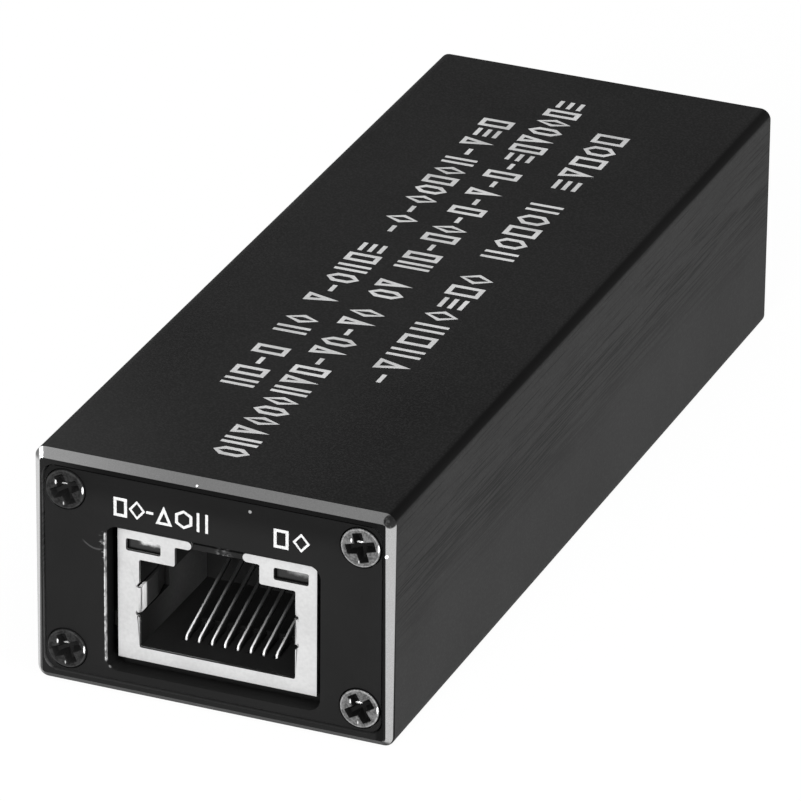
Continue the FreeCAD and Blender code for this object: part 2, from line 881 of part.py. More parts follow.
def make_sfp_connector():
    back = cage_end + connector_gap + cage_thickness
    mouth = back + connector_depth
    slot_end = mouth - card_slot_depth
    half = connector_width / 2
    middle = board_top + card_slot_height_above_board
    body = block(
        cage_centre_x - half, cage_centre_x + half, back, mouth, board_top, board_top + connector_height
    )
    top_edge = [
        edge for edge in body.Edges
        if edge.BoundBox.YMin > mouth - 0.001 and edge.BoundBox.ZMin > board_top + connector_height - 0.001
    ]
    body = body.makeChamfer(connector_bevel, top_edge)
    slot = block(
        cage_centre_x - card_slot_width / 2, cage_centre_x + card_slot_width / 2, slot_end, mouth,
        middle - card_slot_height / 2, middle + card_slot_height / 2,
    )
    row_half = blade_pitch * (blades_per_row - 1) / 2 + blade_width / 2 + blade_fit
    row_low = cage_centre_x - row_half
    row_high = cage_centre_x + row_half
    reach = card_slot_height / 2 + blade_groove
    inner_reach = card_slot_height / 2 + slot_web
    cuts = [
        slot,
        block(row_low, row_high, slot_end, mouth, middle - reach, middle + reach),
        block(row_low, row_high, back, back + blade_room, board_top, middle + reach),
        block(row_low, row_high, back, slot_end, middle + inner_reach, middle + reach),
        block(row_low, row_high, slot_end - blade_room, mouth, board_top, board_top + blade_groove),
        block(row_low, row_high, slot_end - blade_room, slot_end, board_top, middle - inner_reach),
    ]
    return body.cut(cuts).removeSplitter()


def usb_outline(margin, y_low, y_high):
    width = usb_thickness - 2 * margin
    span = usb_span - 2 * margin
    return rounded_prism(
        width, span, width / 2 - round_margin, usb_centre_x, usb_middle_z, y_low, y_high
    )


def make_usb_shell():
    shell = usb_outline(0, usb_back, usb_mouth).cut(usb_outline(usb_wall, usb_back, usb_mouth))
    leg_bottom = board_bottom - leg_below_board
    legs = [
        block(
            x - usb_wall / 2, x + usb_wall / 2, y - usb_leg_width / 2, y + usb_leg_width / 2,
            leg_bottom, usb_bottom + usb_thickness / 2,
        )
        for x, y in usb_leg_places()
    ]
    return shell.fuse(legs).removeSplitter()


def make_usb_insulator():
    tip = usb_mouth - usb_tongue_recess
    base_end = tip - usb_tongue_length
    base = usb_outline(usb_wall, usb_back, base_end)
    half_span = usb_tongue_span / 2
    half = usb_tongue_thickness / 2
    tongue = block(
        usb_centre_x - half, usb_centre_x + half, base_end, tip,
        usb_middle_z - half_span, usb_middle_z + half_span,
    )
    nose = [edge for edge in tongue.Edges if edge.BoundBox.YMin > tip - 0.001]
    return base.fuse(tongue.makeChamfer(usb_tongue_bevel, nose)).removeSplitter()


def make_usb_contacts():
    first = usb_middle_z - usb_pad_pitch * (usb_pads_per_side - 1) / 2
    end = usb_mouth - usb_tongue_recess - usb_pad_width
    pads = []
    for side in (-1, 1):
        face = usb_centre_x + side * usb_tongue_thickness / 2
        outer = face + side * usb_pad_thickness
        for index in range(usb_pads_per_side):
            z = first + index * usb_pad_pitch
            pads.append(
                block(
                    min(face, outer), max(face, outer), end - usb_pad_length, end,
                    z - usb_pad_width / 2, z + usb_pad_width / 2,
                )
            )
    return Part.makeCompound(pads)


# A soldered part: a body that stands on the board or hangs under it.
def package(size, place, above, lift=0.0):
    x, y = place
    width, length, height = size
    low = board_top + lift if above else board_bottom - lift - height
    return block(x - width / 2, x + width / 2, y - length / 2, y + length / 2, low, low + height)


# A part under the cage's left side, clear of the cage's legs.
def beside_cage_legs(size, y):
    return (cage_left + leg_clearance + size[0] / 2, y)


# The same with a bevel round the face that is turned away from the board.
def bevelled_package(size, place, above, bevel, lift=0.0):
    shape = package(size, place, above, lift)
    level = shape.BoundBox.ZMax if above else shape.BoundBox.ZMin
    edges = [
        edge for edge in shape.Edges
        if abs(edge.BoundBox.ZMin - level) < 0.001 and abs(edge.BoundBox.ZMax - level) < 0.001
    ]
    return shape.makeChamfer(bevel, edges)


# The magnetics block between jack and cage, with gull-wing pins along its two Y sides.
def make_magnetics():
    width, length, height = magnetics_size
    middle_y = (jack_face + jack_length + cage_end) / 2
    body = bevelled_package(magnetics_size, (magnetics_x, middle_y), True, magnetics_bevel, pin_thickness)
    pitch = width / pins_per_side
    foot = board_top + pin_thickness / 2
    shoulder = board_top + pin_shoulder
    pins = []
    for side in (-1, 1):
        edge = middle_y + side * length / 2
        points = [
            (edge - side * pin_root, shoulder),
            (edge + side * pin_knee, shoulder),
            (edge + side * pin_knee, foot),
            (edge + side * pin_toe, foot),
        ]
        for index in range(pins_per_side):
            x = magnetics_x - width / 2 + pitch * (index + 0.5)
            pins.append(side_strip(points, pin_thickness, x, pin_width))
    return body.fuse(pins).removeSplitter()


def make_group(size, places, above):
    return Part.makeCompound([package(size, place, above) for place in places])


# The lane on the board between the cage and the right wall, at a distance from the power socket.
def power_lane(distance, shift=0.0):
    return ((cage_right + cavity_half_width - rib_reach) / 2 + shift, usb_back - distance)


def make_capacitors():
    shifts = (-capacitor_spacing / 2, capacitor_spacing / 2)
    places = [power_lane(row, shift) for row in capacitor_rows_from_socket for shift in shifts]
    return make_group(capacitor_size, places, True)


def make_resistors():
    half_span = resistor_pitch * (resistors_per_row - 1) / 2
    row_x = [resistor_pitch * index - half_span for index in range(resistors_per_row)]
    return make_group(resistor_size, [(x, y) for y in resistor_rows for x in row_x], False)


os.makedirs("parts", exist_ok=True)

save("housing", make_housing())
save("front_plate", make_front_plate())
save("rear_plate", make_rear_plate())
for name, (x, z) in screw_places().items():
    save("front_screw_" + name, make_screw(x, z, front_drive_angles[name], True))
    save("rear_screw_" + name, make_screw(x, z, rear_drive_angles[name], False))

save("main_board", make_board())

save("jack_shield", make_jack_shield())
save("jack_insulator", make_jack_insulator())
contacts = [contact(x) for x in contact_x()]
save("jack_contacts", Part.makeCompound(contacts))
save("contact_insert", make_contact_insert(contacts))
save("indicator_lamp_left", make_lamp(-1))
save("indicator_lamp_right", make_lamp(1))
save("lamp_leads", make_lamp_leads())

save("sfp_cage", make_sfp_cage())
save("sfp_ground_fingers", make_ground_fingers())
save("sfp_contacts", make_sfp_contacts())
save("sfp_connector", make_sfp_connector())

save("usb_shell", make_usb_shell())
save("usb_insulator", make_usb_insulator())
save("usb_contacts", make_usb_contacts())

save("magnetics", make_magnetics())
save("converter_chip", bevelled_package(chip_size, chip_place, False, flat_package_bevel))
save("memory_chip", bevelled_package(
    memory_size, beside_cage_legs(memory_size, memory_y), False, flat_package_bevel
))
save("crystal", bevelled_package(
    crystal_size, beside_cage_legs(crystal_size, crystal_y), False, flat_package_bevel
))
save("regulator", bevelled_package(
    regulator_size, power_lane(regulator_from_socket), True, flat_package_bevel
))
save("power_inductor", bevelled_package(
    inductor_size, power_lane(inductor_from_socket), True, inductor_bevel
))
save("protection_diode", bevelled_package(diode_size, power_lane(diode_from_socket), True, diode_bevel))
save("input_fuse", package(fuse_size, power_lane(fuse_from_socket), True))
save("board_capacitors", make_capacitors())
save("board_resistors", make_resistors())
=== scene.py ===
import bmesh
import bpy
import math
import numpy as np
from mathutils import Matrix, Vector


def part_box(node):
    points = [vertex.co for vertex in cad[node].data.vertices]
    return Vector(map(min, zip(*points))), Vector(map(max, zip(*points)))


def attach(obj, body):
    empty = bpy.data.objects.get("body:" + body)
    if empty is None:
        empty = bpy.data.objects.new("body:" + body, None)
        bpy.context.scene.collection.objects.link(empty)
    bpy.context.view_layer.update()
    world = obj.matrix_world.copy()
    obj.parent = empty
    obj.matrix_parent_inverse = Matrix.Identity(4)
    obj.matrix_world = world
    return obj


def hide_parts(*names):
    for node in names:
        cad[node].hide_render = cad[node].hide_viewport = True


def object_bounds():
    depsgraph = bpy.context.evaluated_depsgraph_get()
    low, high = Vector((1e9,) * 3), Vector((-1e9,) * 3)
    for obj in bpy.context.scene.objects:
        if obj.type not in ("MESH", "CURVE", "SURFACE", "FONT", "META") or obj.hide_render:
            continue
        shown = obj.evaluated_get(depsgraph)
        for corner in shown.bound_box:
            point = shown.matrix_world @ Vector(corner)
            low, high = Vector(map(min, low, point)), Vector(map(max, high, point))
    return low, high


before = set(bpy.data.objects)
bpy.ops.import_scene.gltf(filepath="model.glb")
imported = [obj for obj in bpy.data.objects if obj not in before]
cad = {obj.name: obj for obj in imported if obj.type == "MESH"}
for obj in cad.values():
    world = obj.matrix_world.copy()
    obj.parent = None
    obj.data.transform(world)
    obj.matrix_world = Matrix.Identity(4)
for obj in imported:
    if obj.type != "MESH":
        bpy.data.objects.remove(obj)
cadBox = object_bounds()
mm = 0.001


class Number:                                    # a socket that can be used in plain arithmetic
    def __init__(self, tree, socket):
        self.tree = tree
        self.socket = socket

    def math(self, operation, *values):
        return self.tree.add("ShaderNodeMath", {"operation": operation}, values)

    def __add__(self, other):
        return self.math("ADD", self, other)

    def __sub__(self, other):
        return self.math("SUBTRACT", self, other)

    def __rsub__(self, other):
        return self.math("SUBTRACT", other, self)

    def __mul__(self, other):
        return self.math("MULTIPLY", self, other)

    def __truediv__(self, other):
        return self.math("DIVIDE", self, other)

    def __rtruediv__(self, other):
        return self.math("DIVIDE", other, self)

    def __pow__(self, other):
        return self.math("POWER", self, other)

    def __abs__(self):
        return self.math("ABSOLUTE", self)

    __radd__ = __add__
    __rmul__ = __mul__


class Tree:                                      # an empty node tree that nodes are added to
    def __init__(self, tree):
        self.nodes = tree.nodes
        self.links = tree.links
        self.nodes.clear()

    def add(self, kind, settings=None, values=(), output=0):
        made = self.nodes.new(kind)
        for key, value in (settings or {}).items():
            setattr(made, key, value)
        for key, value in values.items() if isinstance(values, dict) else enumerate(values):
            if isinstance(value, Number):
                self.links.new(value.socket, made.inputs[key])
            else:
                made.inputs[key].default_value = value
        return Number(self, made.outputs[output])

    def split(self, vector):
        parts = self.add("ShaderNodeSeparateXYZ", None, [vector]).socket.node
        return [Number(self, socket) for socket in parts.outputs]


class Paint(Tree):                               # a material, with places in millimetres
    def __init__(self, name, **finish):
        self.material = bpy.data.materials.new(name)
        self.material.use_nodes = True
        super().__init__(self.material.node_tree)
        self.output = self.nodes.new("ShaderNodeOutputMaterial")
        self.shader = self.nodes.new("ShaderNodeBsdfPrincipled")
        self.links.new(self.shader.outputs[0], self.output.inputs["Surface"])
        place = self.add("ShaderNodeTexCoord", output="Object")
        scaled = {0: place, "Scale": 1 / mm}
        self.place = self.add("ShaderNodeVectorMath", {"operation": "SCALE"}, scaled)
        self.x, self.y, self.z = self.split(self.place)
        self.finish(**finish)

    def normal(self):                            # the smooth normal in the object's own frame
        return self.split(self.add("ShaderNodeTexCoord", output="Normal"))

    def finish(self, **values):
        for key, value in values.items():
            socket = self.shader.inputs[key.replace("_", " ")]
            if isinstance(value, Number):
                self.links.new(value.socket, socket)
            else:
                socket.default_value = value

    def ramp(self, value, low, high, start=0.0, end=1.0):
        settings = {"interpolation_type": "SMOOTHSTEP"}
        return self.add("ShaderNodeMapRange", settings, [value, low, high, start, end])

    def between(self, value, rise, fall):        # 1 from the end of the rise to the start of the fall
        return self.ramp(value, *rise) * (1 - self.ramp(value, *fall))

    def nearby(self, place, reach):              # 1 at a point, 0 beyond its reach
        points = [self.place, place]
        way = self.add("ShaderNodeVectorMath", {"operation": "DISTANCE"}, points, "Value")
        return 1 - self.ramp(way, 0.55 * reach, reach)

    def mix(self, factor, first, second):        # from the first colour to the second
        values = {0: factor, 6: first, 7: second}
        return self.add("ShaderNodeMix", {"data_type": "RGBA"}, values, 2)

    def greys(self, factor, levels):             # from the first grey level to the second
        return self.mix(factor, grey(levels[0]), grey(levels[1]))

    def noise(self, size, detail=2.0, stretch=(1, 1, 1), roughness=0.5):
        place = self.add("ShaderNodeVectorMath", {"operation": "DIVIDE"}, [self.place, stretch])
        values = {"Vector": place, "Scale": 1 / size, "Detail": detail, "Roughness": roughness}
        return self.add("ShaderNodeTexNoise", None, values)

    def bump(self, height, depth, strength=1.0):  # depth in millimetres for a height from 0 to 1
        values = {"Strength": strength, "Distance": depth * mm, "Height": height}
        return self.add("ShaderNodeBump", None, values)


def grey(level):                                 # a display level from 0 to 255 as a colour
    share = level / 255
    light = share / 12.92 if share <= 0.04045 else ((share + 0.055) / 1.055) ** 2.4
    return (light, light, light, 1)


def tint(red, green, blue):
    return (grey(red)[0], grey(green)[0], grey(blue)[0], 1)


def middleOf(node):                              # the middle of a node's box in millimetres
    low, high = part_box(node)
    return (low + high) / 2 / mm


# In the finishes, levels are display greys from 0 to 255 and places are in millimetres. A pair is
# where a change starts and ends, or the two levels that it joins. The ring is the tube's flat end,
# and the bore is its inside.
tubeToneAndLight = {
    "specular": 0.05, "grain": 62, "upGrain": 0.19, "sideGrain": 0.28,
    "top": (35, 20), "topY": (-62, -34), "topRear": 14, "rearY": (-14, 46), "acrossShare": 1.6,
    "topRight": 12, "rightX": (1, 10), "rightY": (-22, 4),
    "side": (43, 38), "sideZ": (11, 18), "roundEdge": 4,
    "line": 66, "scratch": 22, "lineZ": (7, 14), "scratchZ": (12.5, 18.5),
    "bore": 84, "boreX": (-12, -11), "boreZ": (4, 5),
    "ring": 25, "ringTop": (25, 10), "ringTopX": (-13.4, -8), "ringTopZ": (16.9, 17.2),
    "ringRight": 14, "ringRightX": (12.7, 12.9),
}


# The skin is palest at the front of the top, and darker towards its rear and its right front; the
# sides are paler than the top and darker towards it, and the rounded edge between them is nearly
# black: all this is painted light and shade. The skin has a fine grain all over it and long drawn
# lines along the upper half of each side.
def skinAndPaintedLight(paint, nx, nz, endward):
    upright = paint.ramp(abs(nz), 0.9, 0.995)
    sideways = paint.ramp(abs(nx), 0.9, 0.995)
    speckle = paint.noise(0.16, 4)
    cloud = paint.noise(9, 2)
    streaks = paint.noise(0.11, 4, (1, 75, 1), 0.65)
    fineLines = paint.noise(0.05, 2, (1, 90, 1))
    height = paint.z + 3.5 * cloud
    lineZone = paint.ramp(height, *tubeToneAndLight["lineZ"]) * sideways
    higher = 0.07 * paint.ramp(height, *tubeToneAndLight["scratchZ"])
    scratch = paint.ramp(streaks - higher, 0.44, 0.56) * lineZone
    # painted light: the top is painted palest at its front left, darker towards its rear and its
    # right front
    away = paint.y + tubeToneAndLight["acrossShare"] * paint.x
    topShade = paint.greys(paint.ramp(away, *tubeToneAndLight["topY"]), tubeToneAndLight["top"])
    topShade = paint.mix(paint.ramp(away, *tubeToneAndLight["rearY"]), topShade, grey(tubeToneAndLight["topRear"]))
    right = paint.ramp(paint.x, *tubeToneAndLight["rightX"]) * (1 - paint.ramp(paint.y, *tubeToneAndLight["rightY"]))
    topShade = paint.mix(right, topShade, grey(tubeToneAndLight["topRight"]))
    # painted light: the sides are painted paler than the top and darker towards it, and the rounded
    # edge between them nearly black as a dark reflection
    sideShade = paint.greys(paint.ramp(paint.z, *tubeToneAndLight["sideZ"]), tubeToneAndLight["side"])
    shade = paint.mix(sideways, grey(tubeToneAndLight["roundEdge"]), sideShade)
    shade = paint.mix(upright, shade, topShade)
    # painted light: the bore's left wall and its floor are painted pale where they face the light
    inBore = paint.ramp(nx, 0.3, 0.7) * (1 - paint.ramp(paint.x, *tubeToneAndLight["boreX"]))
    boreFloor = paint.ramp(nz, 0.5, 0.99) * (1 - paint.ramp(paint.z, *tubeToneAndLight["boreZ"]))
    shade = paint.mix(inBore + 0.25 * boreFloor, shade, grey(tubeToneAndLight["bore"]))
    # painted shade: the ring is painted darker at its top, most of all to the right, and at its right
    # side
    ring = paint.greys(paint.ramp(paint.x, *tubeToneAndLight["ringTopX"]), tubeToneAndLight["ringTop"])
    ring = paint.mix(paint.ramp(paint.z, *tubeToneAndLight["ringTopZ"]), grey(tubeToneAndLight["ring"]), ring)
    atRight = paint.ramp(paint.x, *tubeToneAndLight["ringRightX"])
    ring = paint.mix(atRight, ring, grey(tubeToneAndLight["ringRight"]))
    shade = paint.mix(endward, shade, ring)
    grain = tubeToneAndLight["upGrain"] * upright + tubeToneAndLight["sideGrain"] * sideways
    shade = paint.mix(paint.ramp(speckle, 0.4, 0.7) * grain, shade, grey(tubeToneAndLight["grain"]))
    shade = paint.mix(paint.ramp(streaks, 0.35, 0.7) * lineZone * 0.3, shade, grey(tubeToneAndLight["line"]))
    shade = paint.mix(scratch * 0.6, shade, grey(tubeToneAndLight["scratch"]))
    roughness = 0.5 + 0.12 * cloud + 0.1 * scratch
    return shade, roughness, fineLines * sideways + 0.4 * speckle


chamfer = {
    "y": (38.06, 38.12), "span": 0.62, "atFront": (38, 38.05),
    "topLeft": (196, 220), "top": (162, 186), "topX": (-13.5, -1),
    "left": (196, 222), "right": (178, 206), "low": (26, 50),
    "wedge": 40, "wedgeTopZ": 19, "innerReach": (0.3, 0.1), "outerReach": (0.0, 0.1),
    "cornerY": -38.13, "cornerSlant": 0.46, "facet": 120, "facetX": (-13.8, -13.66),
    "facetZ": (17.5, 17.9), "cornerDarkSpot": 56, "cornerDarkSpotPlace": (13.66, -38.4, 18.14), "cornerDarkSpotReach": 0.66,
    "glintRise": (-13.72, -13.62), "glintFall": (-13.46, -13.34), "glintZ": (17.6, 17.8),
    "nickGlints": [
        (1.0, (-1.15, -38.6, 18.05), 0.13), (1.0, (13.46, -38.64, 15.42), 0.17),
        (0.7, (13.55, -38.3, 18.65), 0.13),
    ],
}


# A distance across the front that keeps its value along the corner's slanting facet.
def cornerPlace(paint):
    return paint.x + chamfer["cornerSlant"] * (paint.y - chamfer["cornerY"])


# The chamfers are bare metal, each painted with its own tone of reflected light, and the low one dark
# with the shade it reflects. Those at the sides narrow downwards, where painted dark reflections, as
# wedges, take up their inner and outer edges. A grey painted reflection lies on the top left corner.
def chamferReflections(paint, nx, nz, downward):
    machined = paint.ramp(paint.noise(0.04, 2), 0.3, 0.7)
    # painted reflections: the left chamfer paler than the right, and the top one paler at its left
    # end
    left, right = [paint.greys(machined, chamfer[name]) for name in ("left", "right")]
    topLeft, top = [paint.greys(machined, chamfer[name]) for name in ("topLeft", "top")]
    bright = paint.mix(paint.ramp(nx, -0.2, 0.2), left, right)
    topEdge = paint.mix(paint.ramp(paint.x, *chamfer["topX"]), topLeft, top)
    bright = paint.mix(paint.ramp(nz, 0.3, 0.6), bright, topEdge)
    # painted shade: the low chamfer is painted dark, with the shade that it reflects
    bright = paint.mix(downward, bright, paint.greys(machined, chamfer["low"]))
    # painted dark reflections: wedges over the side chamfers' inner and outer edges, widest low down
    fromFace = cadBox[1][1] / mm - abs(paint.y)
    lowness = 1 - paint.z / chamfer["wedgeTopZ"]
    innerReach = paint.ramp(nx, -0.2, 0.2, *chamfer["innerReach"]) * lowness
    outerReach = paint.ramp(nx, -0.2, 0.2, *chamfer["outerReach"]) * lowness
    wedge = 1 - paint.ramp(fromFace - innerReach, 0, 0.04)
    wedge = wedge + paint.ramp(fromFace + outerReach, chamfer["span"] - 0.02, chamfer["span"] + 0.02)
    wedge = wedge * paint.ramp(abs(nx), 0.4, 0.6)
    bright = paint.mix(paint.ramp(wedge, 0.1, 0.9), bright, grey(chamfer["wedge"]))
    # painted reflection: a grey facet on the top left corner
    facet = 1 - paint.ramp(cornerPlace(paint), *chamfer["facetX"])
    facet = facet * paint.ramp(paint.z, *chamfer["facetZ"])
    facet = facet * paint.ramp(0 - paint.y, *chamfer["atFront"])
    bright = paint.mix(facet, bright, grey(chamfer["facet"]))
    # a dark ragged spot on the top right corner
    ragged = paint.noise(0.3, 3)
    cornerDarkSpot = paint.nearby(chamfer["cornerDarkSpotPlace"], chamfer["cornerDarkSpotReach"]) * (0.5 + ragged)
    cornerDarkSpot = paint.ramp(cornerDarkSpot, 0.25, 0.8) * (1 - 0.25 * paint.ramp(ragged, 0.45, 0.7))
    return paint.mix(cornerDarkSpot, bright, grey(chamfer["cornerDarkSpot"]))


def edgeGlints(paint, slanted):                  # painted glints: a shining corner, and small nicks that catch the light
    glint = paint.between(cornerPlace(paint), chamfer["glintRise"], chamfer["glintFall"])
    glint = glint * paint.ramp(paint.z, *chamfer["glintZ"])
    shine = glint * paint.ramp(0 - paint.y, *chamfer["atFront"]) * slanted
    # painted highlights: white spots at three small nicks
    for strength, place, reach in chamfer["nickGlints"]:
        shine = shine + strength * paint.nearby(place, reach)
    return paint.ramp(shine, 0.2, 0.8)


def tubeFinish():
    paint = Paint("blackAnodisedTube", Specular_IOR_Level=tubeToneAndLight["specular"])
    nx, ny, nz = paint.normal()
    endward = paint.ramp(abs(ny), 0.9, 0.97)
    slanted = paint.ramp(abs(ny), 0.3, 0.5) * (1 - endward)
    downward = paint.ramp(0 - nz, 0.25, 0.66)
    bare = slanted * paint.ramp(abs(paint.y), *chamfer["y"])
    shade, roughness, height = skinAndPaintedLight(paint, nx, nz, endward)
    bright = chamferReflections(paint, nx, nz, downward)
    shine = edgeGlints(paint, slanted)
    paint.finish(
        Base_Color=paint.mix(shine, paint.mix(bare, shade, bright), grey(255)),
        Metallic=bare * (1 - shine) * (1 - downward),
        Roughness=roughness - 0.16 * bare,
        Normal=paint.bump(height, 0.004, 0.6),
    )
    return paint.material


plateTone = {
    "specular": 0.1, "skin": (18, 25), "shadow": 14, "shadowZ": (14.6, 16.6),
    "edge": 60, "edgeX": (12.3, 12.4),
}

wearAndGlint = {
    "tone": (112, 180), "faceY": (-38.45, -38.2),
    "lineX": -8.36, "lineHalf": (0.017, 0.17), "lineRise": (2.3, 2.8), "lineFall": (12.6, 13.0),
    "haloX": -8.6, "haloHalf": (0.1, 0.42), "haloRise": (9.5, 11), "haloFall": (12.8, 13.2),
    "hook": (-8.05, -38.6, 2.1), "hookReach": 0.16,
    "speck": (2.95, -38.6, 16.83), "speckReach": 0.16, "speckTone": 170,
    "scratch": (-9.4, -38.6, 11.6), "scratchReach": 0.95, "scratchHalf": (0.03, 0.1),
    "scratchTone": 120, "scratchLowX": -9.0, "scratchLowZ": 11.42, "scratchSag": 0.42,
}


# Beside the jack the front plate is worn bare along a broken upright line, which is also painted
# bright as the highlight along the opening's edge, with a halo of fine hairs at its top and a hook at
# its foot.
# A curved scratch and one pale speck lie apart from it.
def wearAndGlintShade(paint, shade):
    breaks = paint.noise(0.45, 4)
    across = abs(paint.x - wearAndGlint["lineX"] + 0.08 * (breaks - 0.5))
    line = 1 - paint.ramp(across, *wearAndGlint["lineHalf"])
    line = line * paint.between(paint.z, wearAndGlint["lineRise"], wearAndGlint["lineFall"])
    halo = paint.ramp(paint.noise(0.12, 3, (3, 1, 1)), 0.48, 0.7)
    halo = halo * (1 - paint.ramp(abs(paint.x - wearAndGlint["haloX"]), *wearAndGlint["haloHalf"]))
    halo = halo * paint.between(paint.z, wearAndGlint["haloRise"], wearAndGlint["haloFall"])
    hook = paint.nearby(wearAndGlint["hook"], wearAndGlint["hookReach"])
    atFace = 1 - paint.ramp(paint.y, *wearAndGlint["faceY"])
    # the worn line, its halo and its hook are also painted bright as the highlight along the
    # opening's edge
    bare = (line + 0.3 * halo + 0.5 * hook) * atFace
    speck = paint.nearby(wearAndGlint["speck"], wearAndGlint["speckReach"])
    shade = paint.mix(0.5 * speck, shade, grey(wearAndGlint["speckTone"]))
    sag = paint.z - wearAndGlint["scratchLowZ"] - wearAndGlint["scratchSag"] * (paint.x - wearAndGlint["scratchLowX"]) ** 2
    scratch = 1 - paint.ramp(abs(sag), *wearAndGlint["scratchHalf"])
    scratch = scratch * paint.nearby(wearAndGlint["scratch"], wearAndGlint["scratchReach"])
    shade = paint.mix(0.16 * scratch, shade, grey(wearAndGlint["scratchTone"]))
    metal = paint.greys(paint.ramp(breaks, 0.36, 0.58), wearAndGlint["tone"])
    return paint.mix(paint.ramp(bare, 0.05, 0.75), shade, metal)


def plateFinish(name, hasWearAndGlint):
    paint = Paint(name, Specular_IOR_Level=plateTone["specular"])
    grain = paint.noise(0.12, 3)
    cloud = paint.noise(5, 3)
    shade = paint.greys(cloud, plateTone["skin"])
    shade = paint.mix(paint.ramp(paint.z, *plateTone["shadowZ"]), shade, grey(plateTone["shadow"]))
    edgeOn = 1 - paint.ramp(abs(paint.normal()[1]), 0.2, 0.5)
    outside = paint.ramp(abs(paint.x), *plateTone["edgeX"])
    shade = paint.mix(edgeOn * outside, shade, grey(plateTone["edge"]))
    paint.finish(
        Base_Color=wearAndGlintShade(paint, shade) if hasWearAndGlint else shade,
        Roughness=0.5 + 0.15 * cloud,
        Normal=paint.bump(grain, 0.004, 0.5),
    )
    return paint.material


metals = {                                       # two colours, roughness, grain and its stretch
    "cage": (grey(165), grey(200), 0.34, 0.25, (1, 8, 1)),
    "spring": (tint(196, 178, 128), tint(220, 200, 150), 0.3),
    "tinned": (grey(150), grey(190), 0.4),
}


def metalFinish(name, dark, light, roughness, size=0.4, stretch=(1, 1, 1)):
    paint = Paint(name, Metallic=1.0)
    grain = paint.noise(size, 3, stretch)
    stain = paint.noise(3.5, 3)
    paint.finish(
        Base_Color=paint.mix(paint.ramp(0.6 * stain + 0.4 * grain, 0.3, 0.7), dark, light),
        Roughness=roughness + 0.12 * (stain - 0.5) + 0.08 * (grain - 0.5),
        Normal=paint.bump(grain, 0.002, 0.6),
    )
    return paint.material


plastics = {                                     # two colours, roughness and grain
    "black": (grey(30), grey(40)), "package": (grey(34), grey(46), 0.6, 0.1),
    "ferrite": (grey(60), grey(78), 0.75, 0.15),
    "ceramic": (tint(150, 118, 84), tint(176, 142, 104)),
}


def plasticFinish(name, dark, light, roughness=0.5, size=0.2):
    paint = Paint(name, Specular_IOR_Level=0.3)
    grain = paint.noise(size, 3)
    cloud = paint.noise(4, 2)
    paint.finish(
        Base_Color=paint.mix(paint.ramp(0.5 * grain + 0.5 * cloud, 0.3, 0.7), dark, light),
        Roughness=roughness + 0.15 * (cloud - 0.5),
        Normal=paint.bump(grain, 0.003, 0.5),
    )
    return paint.material


socketTone = {
    "specular": 0.06, "mouth": (26, 31), "inside": (92, 104), "deepY": (-37.0, -27.0),
    "palePatch": 120, "palePatchPlace": (0.4, -36.8, 12.2), "palePatchReach": 1.1,
}


def socketFinish():                              # its side walls are painted paler inwards, as painted light
    paint = Paint("socketPlastic", Specular_IOR_Level=socketTone["specular"])
    grain = paint.noise(0.2, 3)
    cloud = paint.noise(2.5, 2)
    tone = paint.ramp(0.5 * grain + 0.5 * cloud, 0.3, 0.7)
    mouth = paint.greys(tone, socketTone["mouth"])
    inside = paint.greys(tone, socketTone["inside"])
    # painted light: the side walls deep inside are painted pale against the shade there
    deep = paint.ramp(paint.y, *socketTone["deepY"]) * paint.ramp(abs(paint.normal()[0]), 0.5, 0.8)
    # a pale noisy patch near the key gap
    palePatch = paint.nearby(socketTone["palePatchPlace"], socketTone["palePatchReach"])
    palePatch = palePatch * paint.ramp(paint.noise(0.3, 4), 0.42, 0.62)
    shade = paint.mix(deep, mouth, inside)
    paint.finish(
        Base_Color=paint.mix(0.6 * palePatch, shade, grey(socketTone["palePatch"])),
        Roughness=0.6 + 0.15 * (cloud - 0.5),
        Normal=paint.bump(grain, 0.003, 0.5),
    )
    return paint.material


contactTone = {
    "shine": (250, 196), "flank": 44, "fadeY": (-35.3, -30.2), "longer": 1.5, "longerX": (-3.6, -1),
    "coreHalf": 0.1, "coreAside": -0.03, "laneTop": 0.36, "laneY": (-34.95, -34.85),
    "pitch": 1.016, "pitchesAside": 8.5,
}


# Only a narrow line along the middle of each wire's upper side shines, a painted highlight; it fades
# into painted shade behind, and the flanks and the low lane under the arms are painted dark as shade.
# The distance from the nearest wire's middle is x folded at every half pitch, counted from beyond the
# last wire.
def contactFinish():
    paint = Paint("contactMetal", Metallic=0.2, Specular_IOR_Level=0.3)
    grain = paint.noise(0.5, 3, (1, 6, 1))
    pitch = contactTone["pitch"]
    spread = paint.x + contactTone["pitchesAside"] * pitch - contactTone["coreAside"]
    aside = spread.math("PINGPONG", spread, pitch / 2)
    # painted highlight: a narrow core along the middle of each wire
    core = 1 - paint.ramp(aside, 0.5 * contactTone["coreHalf"], contactTone["coreHalf"])
    longer = 1 - paint.ramp(paint.x, *contactTone["longerX"])
    # painted shade: the highlight fades into the dark further in, later for the wires on the left
    along = paint.ramp(paint.y - contactTone["longer"] * longer, *contactTone["fadeY"])
    bright = paint.greys(paint.ramp(along, 0, 0.25), contactTone["shine"])
    shade = paint.mix(along, bright, grey(contactTone["flank"]))
    # painted light: only faces turned upwards carry the highlight; the flanks are painted dark
    upward = paint.ramp(paint.normal()[2], -0.6, 0.2)
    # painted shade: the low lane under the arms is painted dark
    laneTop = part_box("jack_contacts")[0].z / mm + contactTone["laneTop"]
    lane = 1 - paint.ramp(paint.z, laneTop, laneTop + 0.04)
    lane = lane * paint.ramp(paint.y, *contactTone["laneY"])
    paint.finish(
        Base_Color=paint.mix(core * upward * (1 - lane), grey(contactTone["flank"]), shade),
        Roughness=0.42 + 0.1 * grain,
        Normal=paint.bump(grain, 0.001, 0.5),
    )
    return paint.material


